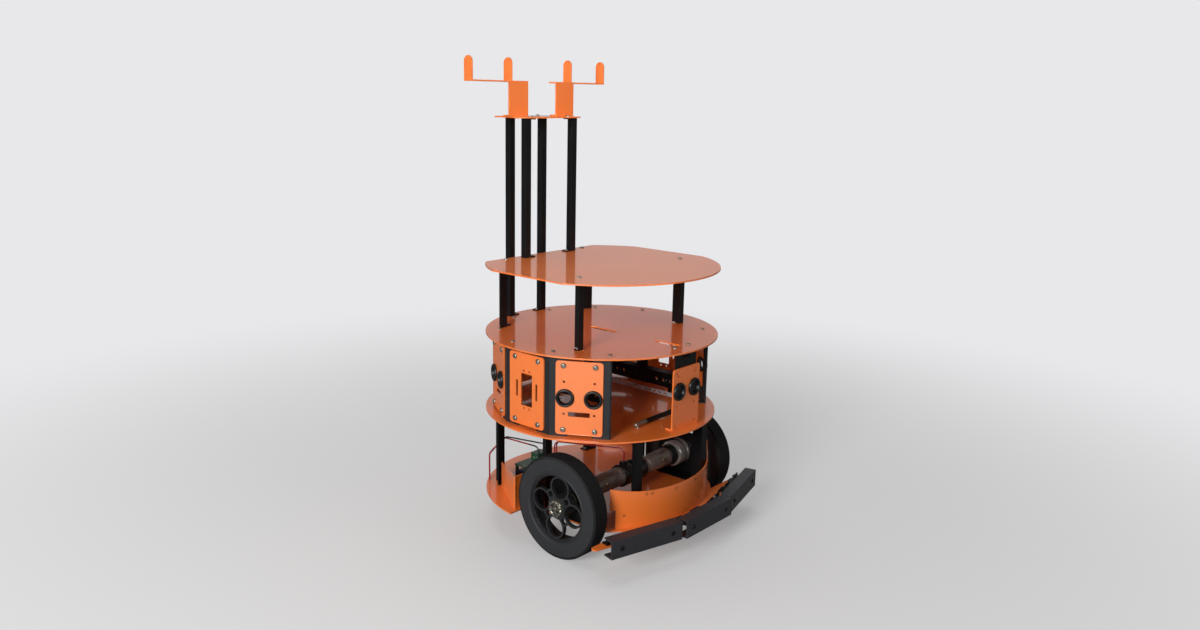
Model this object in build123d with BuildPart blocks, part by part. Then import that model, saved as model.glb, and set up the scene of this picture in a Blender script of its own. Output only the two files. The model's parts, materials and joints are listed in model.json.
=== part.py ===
from build123d import *
import os
from math import atan2, cos, degrees, hypot, radians, sin, tan

# Mobile robot platform: a round two-wheeled base, a ring of sensor panels, an upper deck and
# a mast with two sensor forks. The origin is on the floor under the centre of the round plates.
# +Z is up, the bumper looks along -Y and both wheels turn about X.

os.makedirs("parts", exist_ok=True)

# Plates. Heights are those of the plates' upper faces above the floor; a storey is measured from
# the upper face of one plate to that of the next.
deck_radius = 160.0
plate_t = 2.0
base_height = 42.5
base_storey = 119.2
bay_storey = 107.8
deck_storey = 92.9
mast_storey = 193.1
upper_deck_side_flat = 147.7
upper_deck_rear_flat = 116.5
edge_round = 6.0
nose_round = 4.2
nose_round_share = 0.51
screw_hole_r = 1.7

# Cable slots through the bay roof, on the centre line
roof_slot_width = 9.0
roof_slots = [(-2.0, 48.0), (-113.5, 41.0)]

# Drive wheels
wheel_radius = 68.0
wheel_width = 24.0
wheel_outer_x = 150.0
axle_y = -56.0
well_clearance = 5.0
rim_seat_r = 50.0
rim_opening_r = 44.0
rim_web_t = 5.0
rim_web_recess = 3.0
rim_hole_r = 13.5
rim_hole_place_r = 27.5
rim_small_hole_r = 4.0
rim_small_place_r = 19.5
rim_rib = 2.5
rim_phase = 8.0
tread_groove = 1.2
tyre_shoulder = 3.0
hub_r = 11.0
hub_flange_r = 15.0
hub_flange_t = 3.0
shaft_r = 3.0
running_gap = 0.05

# Gear motors: the output shaft sits below the centre of the gearbox
gearbox_r = 18.5
gearbox_length = 24.0
gearbox_shaft_drop = 7.0
gearbox_boss_r = 6.0
can_r = 13.0
encoder_r = 15.5
encoder_length = 20.0
motor_end_gap = 3.0
bracket_t = 2.0
bracket_width = 76.0
bracket_rise = 30.0
bracket_corner = 8.0
bracket_foot = 26.0
bracket_to_wheel = 6.0

# Folded posts. The corner of an angle is its inner front one; a channel is placed by its centre.
angle_leg_x = 12.0
angle_leg_y = 16.0
rear_leg_y = 14.0
post_sheet = 1.6
post_tab = 9.0
base_post_places = [(66.0, -129.5), (100.0, -2.0), (93.0, 97.0)]
deck_front_place = (106.0, -52.0)
deck_rear_place = (83.0, 102.0)
channel_width = 10.0
channel_depth = 9.0
mast_front_place = (46.2, 102.3)
mast_rear_place = (32.0, 148.3)

# Sensor bay: panels on the sides of a twelve-sided ring, folded posts at its corners
ring_sides = 12
ring_apothem = 145.0
panel_t = 2.0
panel_width = 61.0
panel_height = 96.5
panel_foot_gap = 3.3
panel_corner_r = 4.0
panel_screw_x = 20.5
panel_screw_z = 42.0
bay_post_leg = 9.3
bay_post_ear = 22.5
bay_post_ear_height = 20.0
bay_post_sheet = 2.0
bay_post_tab = 12.0
eye_panel_angles = [30, 90, 150, 210, 330]
window_panel_angles = [0, 60, 120, 180]
rear_panel_angles = [60, 90, 120]
bay_post_angles_right = [315, 345, 15, 45, 75]
bay_post_angles_left = [105, 135, 165, 195, 225]
eye_spacing = 36.4
eye_hole_r = 9.5
eye_pin_r = 1.5
eye_pin_spread = 3.0
eye_pin_up = 21.0
mouth_drop = 21.0
mouth_width = 28.0
mouth_height = 6.0
window_width = 20.0
window_height = 43.0
window_pin_spacing = 10.0
window_pin_rise = 50.0
window_slot_x = 17.5
window_slot_length = 22.6
window_slot_width = 3.6
bezel_r = 12.0
bezel_bore_r = 8.0
bezel_stand = 3.4
bezel_round = 1.2
bezel_back_t = 1.6
bezel_back_r = 10.8

# Front sensor panel, on its own folded foot
front_panel_y = 147.0
front_panel_width = 57.0
front_panel_height = 83.0
front_eye_spacing = 33.0
front_panel_eye_height = 52.5
front_foot_depth = 14.0
front_tie_width = 44.0
front_tie_lap = 9.0
front_tie_flange = 14.0

# Perforated beams, slotted strips and tie rod inside the bay
beam_x = 60.0
beam_rear_y = 62.0
beam_front_y = {"left": -66.0, "right": -82.0}
beam_rise = 45.3
beam_drop = 20.0
beam_flange = 14.0
beam_pitch = 12.0
beam_hole_r = 2.4
hanger_places = (-28.0, 50.0)
hanger_width = 12.0
strip_hang = 26.0
strip_height = 6.0
strip_slot_pitch = 9.0
strip_slot_length = 6.0
strip_slot_width = 2.2
strap_width = 8.0
rod_r = 3.2
rod_y = -103.0
rod_x_range = (-27.0, 60.0)
ferrule_x = -50.0
ferrule_r = 2.2
rod_clip_width = 8.0
rod_screw_r = 1.5
rod_screw_x = -44.0

# Fender and wheel guards
fender_r = 154.0
sheet_t = 1.5
fender_half_angle = 44.0
fender_height = 47.5
fender_horn_height = 68.0
fender_horn_run = 17.0
fender_notch_height = 25.0
fender_notch_angle = 2.8
fender_foot_angles = (-14.0, 0.0, 14.0)
fender_foot_size = 12.0
guard_rear = (104.0, 92.0)
guard_corner = (147.0, 22.0)
guard_inner_x = 124.0
guard_low = 36.0
guard_high = 46.0

# Bumper: three sprung bars on guide pins
bar_height = 24.0
bar_depth = 16.0
bar_wall = 2.0
bar_low = 36.0
bar_front_y = 193.0
centre_bar_length = 101.0
side_bar_inner = (55.5, 189.0)
side_bar_outer = (161.5, 161.0)
bar_pin_share = 0.36
bar_travel = 4.0
bar_to_plate = 22.0
carrier_setback = 2.0
pin_r = 2.5
pin_head_r = 4.0
pin_head_t = 3.0
seat_gap = 0.3
carrier_width = 12.0
carrier_height = 11.5
carrier_foot = 11.0
switch_length = 20.0
switch_depth = 10.0
switch_height = 8.0
plunger_r = 1.6
nose_half_width = 165.0

# Rear caster
caster_y = 118.0
caster_trail = 11.0
caster_wheel_r = 14.0
caster_wheel_width = 12.0
caster_plate_size = (44.0, 38.0)
caster_plate_t = 2.0
caster_cup_r = 13.0
caster_cup_height = 3.0
caster_pin_r = 3.0
caster_arm_t = 2.0
caster_side_gap = 0.6
caster_axle_r = 2.0
fork_top_gap = 0.3
fork_top_t = 2.0

# Battery pack and motor driver board
battery_place = (-58.0, 62.0)
battery_size = (58.0, 34.0, 24.0)
board_size = (54.0, 46.0)
board_t = 1.6
board_gap = 5.0
standoff_r = 2.5
connector_y = -14.0
connector_height = 9.0

# Insulated wires: two pairs from the board and a single one to the right motor, each fixed at
# both ends. The points are the corners of the route; a wire rises straight out of its connector.
wire_r = 1.0
wire_bend = 8.0
wire_lift = 22.0
white_wire_place = (27.0, -58.0)
rear_wires = [(-16.0, (-80.0, 112.0), (-100.0, 121.0)), (0.0, (-76.0, 113.0), (-96.0, 125.0))]
motor_wires = [(16.0, -13.0), (20.0, 13.0)]

# Sensor forks on the mast plate
mast_plate_size = (116.0, 62.0)
mast_plate_y = 125.0
fork_flange = (28.0, 64.0)
fork_flange_y = 117.0
fork_rise = 47.5
fork_arm_width = 15.0
fork_outer_x = 131.0
fork_inner_x = 60.0
prong_height = 32.5
fork_foot = 12.0

# Values that follow from those above
base_low = base_height - plate_t
bay_floor_height = base_height + base_storey
bay_floor_low = bay_floor_height - plate_t
bay_roof_height = bay_floor_height + bay_storey
upper_deck_height = bay_roof_height + deck_storey
mast_plate_height = upper_deck_height + mast_storey
bay_roof_low = bay_roof_height - plate_t
upper_deck_low = upper_deck_height - plate_t
mast_plate_low = mast_plate_height - plate_t
wheel_inner_x = wheel_outer_x - wheel_width
bracket_x = wheel_inner_x - bracket_to_wheel
gearbox_z = wheel_radius + gearbox_shaft_drop
can_inner_x = motor_end_gap + encoder_length
gearbox_x = bracket_x - bracket_t
well_half = wheel_radius + well_clearance
well_front_y = axle_y - well_half
half_turn = 180.0 / ring_sides
panel_mid_z = bay_floor_height + panel_foot_gap + panel_height / 2
beam_top = bay_floor_height + beam_rise
strip_top = beam_top - strip_hang
side_bar_length = hypot(side_bar_outer[0] - side_bar_inner[0], side_bar_outer[1] - side_bar_inner[1])
side_bar_yaw = degrees(atan2(side_bar_inner[1] - side_bar_outer[1], side_bar_outer[0] - side_bar_inner[0]))
side_bar_x = (side_bar_inner[0] + side_bar_outer[0]) / 2
side_bar_y = -(side_bar_inner[1] + side_bar_outer[1]) / 2
bars = {
    "left": (-side_bar_x, side_bar_y, -side_bar_yaw, side_bar_length),
    "centre": (0.0, -bar_front_y, 0.0, centre_bar_length),
    "right": (side_bar_x, side_bar_y, side_bar_yaw, side_bar_length),
}
sides = {"left": -1, "right": 1}


def save(builder, name):
    builder.part.label = name
    export_step(builder.part, f"parts/{name}.step")


def standing(x, y, z, turn=0.0):
    """Level plane at a place, with its x axis turned about the vertical."""
    return Plane(origin=(x, y, z), x_dir=(cos(radians(turn)), sin(radians(turn)), 0), z_dir=(0, 0, 1))


def facing(angle, distance, z):
    """Upright plane that looks outward at an angle, a distance from the centre, its y axis up."""
    c, s = cos(radians(angle)), sin(radians(angle))
    return Plane(origin=(distance * c, distance * s, z), x_dir=(-s, c, 0), z_dir=(c, s, 0))


# Base plate: a disc with wheel wells and a three-sided nose that carries the bumper
nose_lean = tan(radians(side_bar_yaw))
nose_front_y = -bar_front_y + bar_to_plate
nose_side_y = side_bar_y + bar_to_plate / cos(radians(side_bar_yaw)) - side_bar_x * nose_lean
nose_front_x = (nose_front_y - nose_side_y) / nose_lean
nose_tip_y = nose_side_y + nose_half_width * nose_lean
with BuildPart() as base_plate:
    with BuildSketch(Plane.XY.offset(base_low)) as base_outline:
        Circle(deck_radius)
        with BuildLine():
            Polyline(
                (-nose_half_width, well_front_y), (-nose_half_width, nose_tip_y),
                (-nose_front_x, nose_front_y), (nose_front_x, nose_front_y),
                (nose_half_width, nose_tip_y), (nose_half_width, well_front_y), close=True)
        make_face()
        for side in sides.values():
            with Locations((side * (bracket_x + deck_radius), axle_y)):
                Rectangle(2 * (deck_radius - 1), 2 * well_half, mode=Mode.SUBTRACT)
        front_corners = base_outline.vertices().group_by(Axis.Y)[0]
        tip_corners = base_outline.vertices().filter_by(lambda v: abs(abs(v.X) - nose_half_width) < 0.01)
        tip_edge = well_front_y - nose_tip_y
        fillet(tip_corners + front_corners, radius=min(nose_round, nose_round_share * tip_edge))
        for x, y in base_post_places:
            with Locations((x - post_tab / 2, y + angle_leg_y / 2), (post_tab / 2 - x, y + angle_leg_y / 2)):
                Circle(screw_hole_r, mode=Mode.SUBTRACT)
    extrude(amount=plate_t)
save(base_plate, "base_plate")

with BuildPart() as bay_floor_plate:
    with BuildSketch(Plane.XY.offset(bay_floor_low)):
        Circle(deck_radius)
    extrude(amount=plate_t)
save(bay_floor_plate, "bay_floor_plate")

with BuildPart() as bay_roof_plate:
    with BuildSketch(Plane.XY.offset(bay_roof_low)):
        Circle(deck_radius)
        for middle, length in roof_slots:
            with Locations((0, middle)):
                SlotOverall(length, roof_slot_width, rotation=90, mode=Mode.SUBTRACT)
    extrude(amount=plate_t)
save(bay_roof_plate, "bay_roof_plate")

with BuildPart() as upper_deck:
    with BuildSketch(Plane.XY.offset(upper_deck_low)) as deck_outline:
        Circle(deck_radius)
        with Locations((0, (upper_deck_rear_flat - deck_radius) / 2)):
            Rectangle(2 * upper_deck_side_flat, deck_radius + upper_deck_rear_flat, mode=Mode.INTERSECT)
        fillet(deck_outline.vertices(), radius=edge_round * 2)
    extrude(amount=plate_t)
save(upper_deck, "upper_deck")

with BuildPart() as mast_plate:
    with BuildSketch(Plane.XY.offset(mast_plate_low)):
        with Locations((0, mast_plate_y)):
            RectangleRounded(*mast_plate_size, edge_round)
    extrude(amount=plate_t)
save(mast_plate, "mast_plate")


def angle_posts(name, places, leg_y, low, high):
    """Folded angles whose legs run outward and to the rear, with a foot tab inward at each end."""
    with BuildPart() as group:
        for x, y in places:
            out = 1 if x > 0 else -1
            with BuildSketch(standing(x, y, low)):
                with Locations((out * angle_leg_x / 2, leg_y / 2)):
                    Rectangle(angle_leg_x, leg_y)
                with Locations((out * (angle_leg_x / 2 + post_sheet), leg_y / 2 + post_sheet)):
                    Rectangle(angle_leg_x, leg_y, mode=Mode.SUBTRACT)
            extrude(amount=high - low)
            with BuildSketch(standing(x, y, low), standing(x, y, high - post_sheet)):
                with Locations((out * (post_sheet - post_tab) / 2, leg_y / 2)):
                    Rectangle(post_sheet + post_tab, leg_y - 2 * post_sheet)
                with Locations((-out * post_tab / 2, leg_y / 2)):
                    Circle(screw_hole_r, mode=Mode.SUBTRACT)
            extrude(amount=post_sheet)
    save(group, name)


for side_name, side in sides.items():
    angle_posts(f"base_posts_{side_name}", [(side * x, y) for x, y in base_post_places],
                angle_leg_y, base_height, bay_floor_low)
    angle_posts(f"deck_post_rear_{side_name}", [(side * deck_rear_place[0], deck_rear_place[1])],
                rear_leg_y, bay_roof_height, upper_deck_low)


def channel_post(name, place, size, low, high, tab):
    """Channel open to the rear, closed at both ends by a foot with a screw hole or a tab beside it."""
    x, y = place
    inward = -1 if x > 0 else 1
    width, depth = size
    with BuildPart() as post:
        with BuildSketch(standing(x, y, low)):
            Rectangle(width, depth)
            with Locations((0, post_sheet)):
                Rectangle(width - 2 * post_sheet, depth, mode=Mode.SUBTRACT)
        extrude(amount=high - low)
        with BuildSketch(standing(x, y, low), standing(x, y, high - post_sheet)):
            with Locations((inward * tab / 2, 0)):
                Rectangle(width + tab, depth)
            with Locations((inward * (width + tab) / 2 * (tab > 0), 0)):
                Circle(screw_hole_r, mode=Mode.SUBTRACT)
        extrude(amount=post_sheet)
    save(post, name)


for side_name, side in sides.items():
    channel_post(f"deck_post_front_{side_name}", (side * deck_front_place[0], deck_front_place[1]),
                 (angle_leg_x, angle_leg_y), bay_roof_height, upper_deck_low, 0)
    channel_post(f"mast_post_front_{side_name}", (side * mast_front_place[0], mast_front_place[1]),
                 (channel_width, channel_depth), upper_deck_height, mast_plate_low, post_tab)
    channel_post(f"mast_post_rear_{side_name}", (side * mast_rear_place[0], mast_rear_place[1]),
                 (channel_width, channel_depth), bay_roof_height, mast_plate_low, post_tab)


# Sensor panels: flat plates with rounded corners and punched openings
def panel_plate(plane, width, height):
    """Plain panel with its four corner screw holes."""
    rise = panel_screw_z - (panel_height - height) / 2
    with BuildPart() as plate:
        with BuildSketch(plane):
            RectangleRounded(width, height, panel_corner_r)
            with GridLocations(2 * panel_screw_x, 2 * rise, 2, 2):
                Circle(screw_hole_r, mode=Mode.SUBTRACT)
        extrude(amount=-panel_t)
    return plate.part


def eye_openings(plane, spacing):
    """Two eye holes, four pin holes and a short slot, about the point between the eyes."""
    with BuildPart() as openings:
        with BuildSketch(plane):
            with GridLocations(spacing, 0, 2, 1):
                Circle(eye_hole_r)
            with GridLocations(spacing + eye_pin_spread, 2 * eye_pin_up, 2, 2):
                Circle(eye_pin_r)
            with Locations((0, -mouth_drop)):
                Rectangle(mouth_width, mouth_height)
        extrude(amount=-panel_t)
    return openings.part


def window_openings(plane):
    """A tall window with two pin holes above and below it and a slot on each side."""
    with BuildPart() as openings:
        with BuildSketch(plane):
            Rectangle(window_width, window_height)
            with GridLocations(window_pin_spacing, window_pin_rise, 2, 2):
                Circle(eye_pin_r)
            with GridLocations(2 * window_slot_x, 0, 2, 1):
                SlotOverall(window_slot_length, window_slot_width, rotation=90)
        extrude(amount=-panel_t)
    return openings.part


def ring_panels(name, angles):
    """One or more panels of the ring, with the openings that belong at each angle."""
    plates = []
    openings = []
    for angle in angles:
        outer = facing(angle, ring_apothem + panel_t, panel_mid_z)
        plates.append(panel_plate(outer, panel_width, panel_height))
        if angle in eye_panel_angles:
            openings.append(eye_openings(outer, eye_spacing))
        else:
            openings.append(window_openings(outer))
    with BuildPart() as panels:
        add(plates)
        add(openings, mode=Mode.SUBTRACT)
    save(panels, name)


for angle in eye_panel_angles + window_panel_angles:
    if angle not in rear_panel_angles:
        kind = "eye" if angle in eye_panel_angles else "window"
        ring_panels(f"{kind}_panel_{angle}", [angle])
ring_panels("rear_panels", rear_panel_angles)

front_panel_mid_z = bay_floor_height + front_panel_height / 2
front_face = facing(-90, front_panel_y, front_panel_mid_z)
front_eyes = facing(-90, front_panel_y, bay_floor_height + front_panel_eye_height)
front_plate = panel_plate(front_face, front_panel_width, front_panel_height)
front_openings = eye_openings(front_eyes, front_eye_spacing)
with BuildPart() as eye_panel_front:
    add(front_plate)
    add(front_openings, mode=Mode.SUBTRACT)
    with BuildSketch(Plane.XY.offset(bay_floor_height)):
        with Locations((0, -front_panel_y + front_foot_depth / 2)):
            Rectangle(front_panel_width - 2 * panel_corner_r, front_foot_depth)
        with Locations((-panel_screw_x, -front_panel_y + front_foot_depth * 0.6),
                       (panel_screw_x, -front_panel_y + front_foot_depth * 0.6)):
            Circle(screw_hole_r, mode=Mode.SUBTRACT)
    extrude(amount=panel_t)
save(eye_panel_front, "eye_panel_front")

# Black angle that ties the front panel's top edge to the bay roof
tie_low = bay_floor_height + front_panel_height - front_tie_lap
with BuildPart() as front_tie:
    with BuildSketch(Plane.XZ.offset(front_panel_y - panel_t)):
        with Locations((0, (tie_low + bay_roof_low) / 2)):
            Rectangle(front_tie_width, bay_roof_low - tie_low)
        with Locations((0, bay_roof_low - front_tie_lap)):
            Rectangle(front_tie_width / 3, 2 * post_sheet, mode=Mode.SUBTRACT)
    extrude(amount=-post_sheet)
    with BuildSketch(Plane.XY.offset(bay_roof_low - post_sheet)):
        with Locations((0, -front_panel_y + panel_t + front_tie_flange / 2)):
            Rectangle(front_tie_width, front_tie_flange)
        with Locations((-front_tie_width / 3, -front_panel_y + panel_t + front_tie_flange * 0.6),
                       (front_tie_width / 3, -front_panel_y + panel_t + front_tie_flange * 0.6)):
            Circle(screw_hole_r, mode=Mode.SUBTRACT)
    extrude(amount=post_sheet)
save(front_tie, "front_tie")


def bezels(name, faces):
    """Pairs of eye bezels: a rounded collar outside, a neck in the hole and a lip behind."""
    neck_r = eye_hole_r - running_gap
    back = -panel_t - bezel_back_t
    brow = bezel_stand - bezel_round
    with BuildPart() as group:
        for face, spacing in faces:
            for side in sides.values():
                middle = face.from_local_coords((side * spacing / 2, 0, 0))
                turning = Plane(origin=middle, x_dir=face.x_dir, z_dir=-face.y_dir)
                with BuildSketch(turning):
                    with BuildLine():
                        Polyline(
                            (bezel_bore_r, back), (bezel_back_r, back), (bezel_back_r, -panel_t),
                            (neck_r, -panel_t), (neck_r, 0), (bezel_r, 0), (bezel_r, brow),
                            (bezel_r - bezel_round, bezel_stand), (bezel_bore_r + bezel_round, bezel_stand),
                            (bezel_bore_r, brow), close=True)
                    make_face()
                revolve(axis=Axis(middle, face.z_dir))
    save(group, name)


def eye_face(angle):
    return facing(angle, ring_apothem + panel_t, panel_mid_z)


ring_faces = [(eye_face(angle), eye_spacing) for angle in eye_panel_angles]
bezels("eye_bezels", ring_faces + [(front_eyes, front_eye_spacing)])


def bay_posts(name, angles):
    """Folded strips behind the panel edges, with ears where a panel is screwed on and tabs at both ends."""
    turn = radians(half_turn)
    outer = ring_apothem / cos(turn)
    inner = (ring_apothem - bay_post_sheet) / cos(turn)
    low, high = bay_floor_height, bay_roof_low
    ring_angles = eye_panel_angles + window_panel_angles
    with BuildPart() as group:
        for angle in angles:
            ears = [bay_post_ear if (angle + step) % 360 in ring_angles else bay_post_leg
                    for step in (half_turn, -half_turn)]
            levels = [((bay_post_leg, bay_post_leg), low, high - low), (ears, low, bay_post_ear_height),
                      (ears, high - bay_post_ear_height, bay_post_ear_height)]
            for (after, before), level, height in levels:
                with BuildSketch(standing(0, 0, level, angle)):
                    with BuildLine():
                        Polyline((outer - after * sin(turn), after * cos(turn)), (outer, 0),
                                 (outer - before * sin(turn), -before * cos(turn)),
                                 (inner - before * sin(turn), -before * cos(turn)), (inner, 0),
                                 (inner - after * sin(turn), after * cos(turn)), close=True)
                    make_face()
                extrude(amount=height)
            with BuildSketch(standing(0, 0, low, angle), standing(0, 0, high - bay_post_sheet, angle)):
                with Locations((inner - bay_post_tab / 2, 0)):
                    Rectangle(bay_post_tab, bay_post_tab)
                with Locations((inner - bay_post_tab * 0.6, 0)):
                    Circle(screw_hole_r, mode=Mode.SUBTRACT)
            extrude(amount=bay_post_sheet)
    save(group, name)


bay_posts("bay_posts_left", bay_post_angles_left)
bay_posts("bay_posts_right", bay_post_angles_right)

# Perforated angle beams along the bay, hung from the roof, with a slotted strip under each
def bay_beam(name, side, front_y):
    """Angle beam with a row of holes, its flange outward, and the two hangers welded on it."""
    length = beam_rear_y - front_y
    mid_y = (beam_rear_y + front_y) / 2
    with BuildPart() as beam:
        with BuildSketch(Plane.YZ.offset(side * beam_x)):
            with Locations((mid_y, beam_top - beam_drop / 2)):
                Rectangle(length, beam_drop)
                with GridLocations(beam_pitch, 0, int(length / beam_pitch), 1):
                    Circle(beam_hole_r, mode=Mode.SUBTRACT)
        extrude(amount=side * post_sheet)
        with BuildSketch(Plane.XY.offset(beam_top - post_sheet)):
            with Locations((side * (beam_x + beam_flange / 2), mid_y)):
                Rectangle(beam_flange, length)
        extrude(amount=post_sheet)
        for y in hanger_places:
            with BuildSketch(standing(side * (beam_x + post_sheet / 2), y, beam_top - post_sheet)):
                Rectangle(post_sheet, hanger_width)
            extrude(amount=bay_roof_low - beam_top + post_sheet)
            with BuildSketch(standing(side * (beam_x + hanger_width / 2), y, bay_roof_low - post_sheet)):
                Rectangle(hanger_width, hanger_width)
                Circle(screw_hole_r, mode=Mode.SUBTRACT)
            extrude(amount=post_sheet)
    save(beam, name)


for side_name, side in sides.items():
    bay_beam(f"bay_beam_{side_name}", side, beam_front_y[side_name])

strap_low = beam_top - beam_drop + strap_width
with BuildPart() as bay_strips:
    for side_name, side in sides.items():
        front_y = beam_front_y[side_name]
        length = beam_rear_y - front_y
        with BuildSketch(Plane.YZ.offset(side * beam_x)):
            with Locations(((beam_rear_y + front_y) / 2, strip_top - strip_height / 2)):
                Rectangle(length, strip_height)
                with GridLocations(strip_slot_pitch, 0, int(length / strip_slot_pitch) - 2, 1):
                    SlotOverall(strip_slot_length, strip_slot_width, mode=Mode.SUBTRACT)
            for end in (front_y + strap_width / 2, beam_rear_y - strap_width / 2):
                with Locations((end, (strip_top + strap_low) / 2)):
                    Rectangle(strap_width, strap_low - strip_top)
        extrude(amount=-side * post_sheet)
save(bay_strips, "bay_strips")

# Tie rod along the front of the bay floor: a clip at its far end, and at the near end a tapered
# ferrule held on a short screw
rod_z = bay_floor_height + post_sheet + rod_r
with BuildPart() as tie_rod:
    with BuildSketch(Plane.YZ.offset(rod_x_range[0])):
        with Locations((rod_y, rod_z)):
            Circle(rod_r)
    extrude(amount=rod_x_range[1] - rod_x_range[0])
    with BuildSketch(Plane.XY.offset(rod_z)):
        with BuildLine():
            Polyline((rod_x_range[0], rod_y), (rod_x_range[0], rod_y + rod_r * 0.9),
                     (rod_screw_x, rod_y + ferrule_r), (ferrule_x, rod_y + ferrule_r),
                     (ferrule_x, rod_y), close=True)
        make_face()
    revolve(axis=Axis((0, rod_y, rod_z), (1, 0, 0)))
    with BuildSketch(standing(rod_screw_x, rod_y, bay_floor_height)):
        Circle(rod_screw_r)
    extrude(amount=rod_z - bay_floor_height)
    with BuildSketch(Plane.YZ.offset(rod_x_range[1] - rod_clip_width)):
        with Locations((rod_y, rod_z)):
            Circle(rod_r + post_sheet)
        with Locations((rod_y, bay_floor_height + post_sheet / 2)):
            Rectangle(2 * rod_clip_width, post_sheet)
    extrude(amount=rod_clip_width)
save(tie_rod, "tie_rod")


# Front fender: a rolled sheet with folded feet, its ends cut away low down and drawn up to horns
fender_steps = [(0.0, fender_half_angle - fender_notch_angle), (fender_notch_height, fender_half_angle)]
horn_x = fender_r * sin(radians(fender_half_angle - fender_notch_angle / 2))
horn_low = base_height + fender_height
horn_high = base_height + fender_horn_height
with BuildPart() as front_fender:
    for step, half_angle in fender_steps:
        with BuildSketch(Plane.XY.offset(base_height + step)):
            with BuildLine():
                arc = CenterArc((0, 0), fender_r, -90 - half_angle, 2 * half_angle)
                Line((0, 0), arc @ 0)
                Line((0, 0), arc @ 1)
            make_face()
            Circle(fender_r - sheet_t, mode=Mode.SUBTRACT)
        extrude(amount=fender_horn_height - step)
    with BuildSketch(Plane.XZ):
        with BuildLine():
            low_edge = Line((-horn_x + fender_horn_run, horn_low), (horn_x - fender_horn_run, horn_low))
            right_rise = TangentArc((low_edge @ 1, (horn_x, horn_high)), tangent=low_edge % 1)
            left_rise = TangentArc((low_edge @ 0, (-horn_x, horn_high)), tangent=-(low_edge % 0))
            Polyline(right_rise @ 1, (horn_x, horn_high + 1), (-horn_x, horn_high + 1), left_rise @ 1)
        make_face()
    extrude(amount=deck_radius, mode=Mode.SUBTRACT)
    for angle in fender_foot_angles:
        with BuildSketch(standing(0, 0, base_height, angle - 90)):
            with Locations((fender_r - sheet_t - fender_foot_size / 2 + 0.5, 0)):
                Rectangle(fender_foot_size + 1, fender_foot_size)
            with Locations((fender_r - sheet_t - fender_foot_size * 0.6, 0)):
                Circle(screw_hole_r, mode=Mode.SUBTRACT)
        extrude(amount=sheet_t)
save(front_fender, "front_fender")


def wheel_guard(name, side):
    """Folded sheet behind a wheel: a slanted wall whose top climbs to the wheel, and a short return."""
    rear = Vector(side * guard_rear[0], guard_rear[1])
    corner = Vector(side * guard_corner[0], guard_corner[1])
    run = corner - rear
    wall = Plane(origin=(rear.X, rear.Y, base_height), x_dir=(run.X, run.Y, 0),
                 z_dir=(side * -run.Y, side * run.X, 0))
    with BuildPart() as guard:
        with BuildSketch(wall):
            with BuildLine():
                Polyline((0, 0), (run.length, 0), (run.length, side * -guard_high), (0, side * -guard_low),
                         close=True)
            make_face()
        extrude(amount=-sheet_t)
        with BuildSketch(Plane.XZ.offset(-corner.Y)):
            with Locations((side * (guard_corner[0] + guard_inner_x) / 2, base_height + guard_high / 2)):
                Rectangle(guard_corner[0] - guard_inner_x, guard_high)
        extrude(amount=-sheet_t)
    save(guard, name)


for side_name, side in sides.items():
    wheel_guard(f"wheel_guard_{side_name}", side)


# Gear motors and their folded brackets
def motor_bracket(name, side):
    shaft_plane = Plane(origin=(side * gearbox_x, axle_y, wheel_radius), x_dir=(0, 1, 0), z_dir=(side, 0, 0))
    height = gearbox_z + bracket_rise - base_height
    with BuildPart() as bracket:
        with BuildSketch(Plane(origin=(side * gearbox_x, axle_y, base_height), x_dir=(0, 1, 0),
                               z_dir=(side, 0, 0))):
            with BuildLine():
                Polyline((-bracket_width / 2, 0), (bracket_width / 2, 0),
                         (bracket_width / 2, side * (height - bracket_corner)),
                         (bracket_width / 2 - bracket_corner, side * height),
                         (bracket_corner - bracket_width / 2, side * height),
                         (-bracket_width / 2, side * (height - bracket_corner)), close=True)
            make_face()
        extrude(amount=bracket_t)
        with BuildSketch(shaft_plane):
            Circle(gearbox_boss_r + running_gap)
        extrude(amount=bracket_t, mode=Mode.SUBTRACT)
        with BuildSketch(standing(side * (bracket_x - bracket_foot / 2), axle_y, base_height)):
            Rectangle(bracket_foot, bracket_width)
            with GridLocations(bracket_foot * 0.4, bracket_width * 0.7, 2, 2):
                Circle(screw_hole_r, mode=Mode.SUBTRACT)
        extrude(amount=bracket_t)
    save(bracket, name)


def gearbox(name, side):
    """Gearbox drum with the shaft boss set low on its face."""
    face = Plane(origin=(side * gearbox_x, axle_y, gearbox_z), x_dir=(0, 1, 0), z_dir=(side, 0, 0))
    shaft_plane = Plane(origin=(side * gearbox_x, axle_y, wheel_radius), x_dir=(0, 1, 0), z_dir=(side, 0, 0))
    with BuildPart() as box:
        with BuildSketch(face):
            Circle(gearbox_r)
        extrude(amount=-gearbox_length)
        chamfer(box.edges().filter_by(GeomType.CIRCLE), length=0.8)
        with BuildSketch(shaft_plane):
            Circle(gearbox_boss_r)
        extrude(amount=bracket_t + 1)
        with BuildSketch(shaft_plane.offset(bracket_t + 1)):
            Circle(shaft_r + running_gap)
        extrude(amount=-gearbox_length * 0.7, mode=Mode.SUBTRACT)
    save(box, name)


def motor(name, side):
    """Motor can with a wider encoder cap at its inner end."""
    end = Plane(origin=(side * (gearbox_x - gearbox_length), axle_y, gearbox_z), x_dir=(0, 1, 0),
                z_dir=(-side, 0, 0))
    can_length = gearbox_x - gearbox_length - can_inner_x
    with BuildPart() as body:
        with BuildSketch(end):
            Circle(can_r)
        extrude(amount=can_length)
        with BuildSketch(end.offset(can_length)):
            Circle(encoder_r)
        extrude(amount=encoder_length)
        chamfer(body.edges().filter_by(GeomType.CIRCLE), length=0.8)
    save(body, name)


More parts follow.
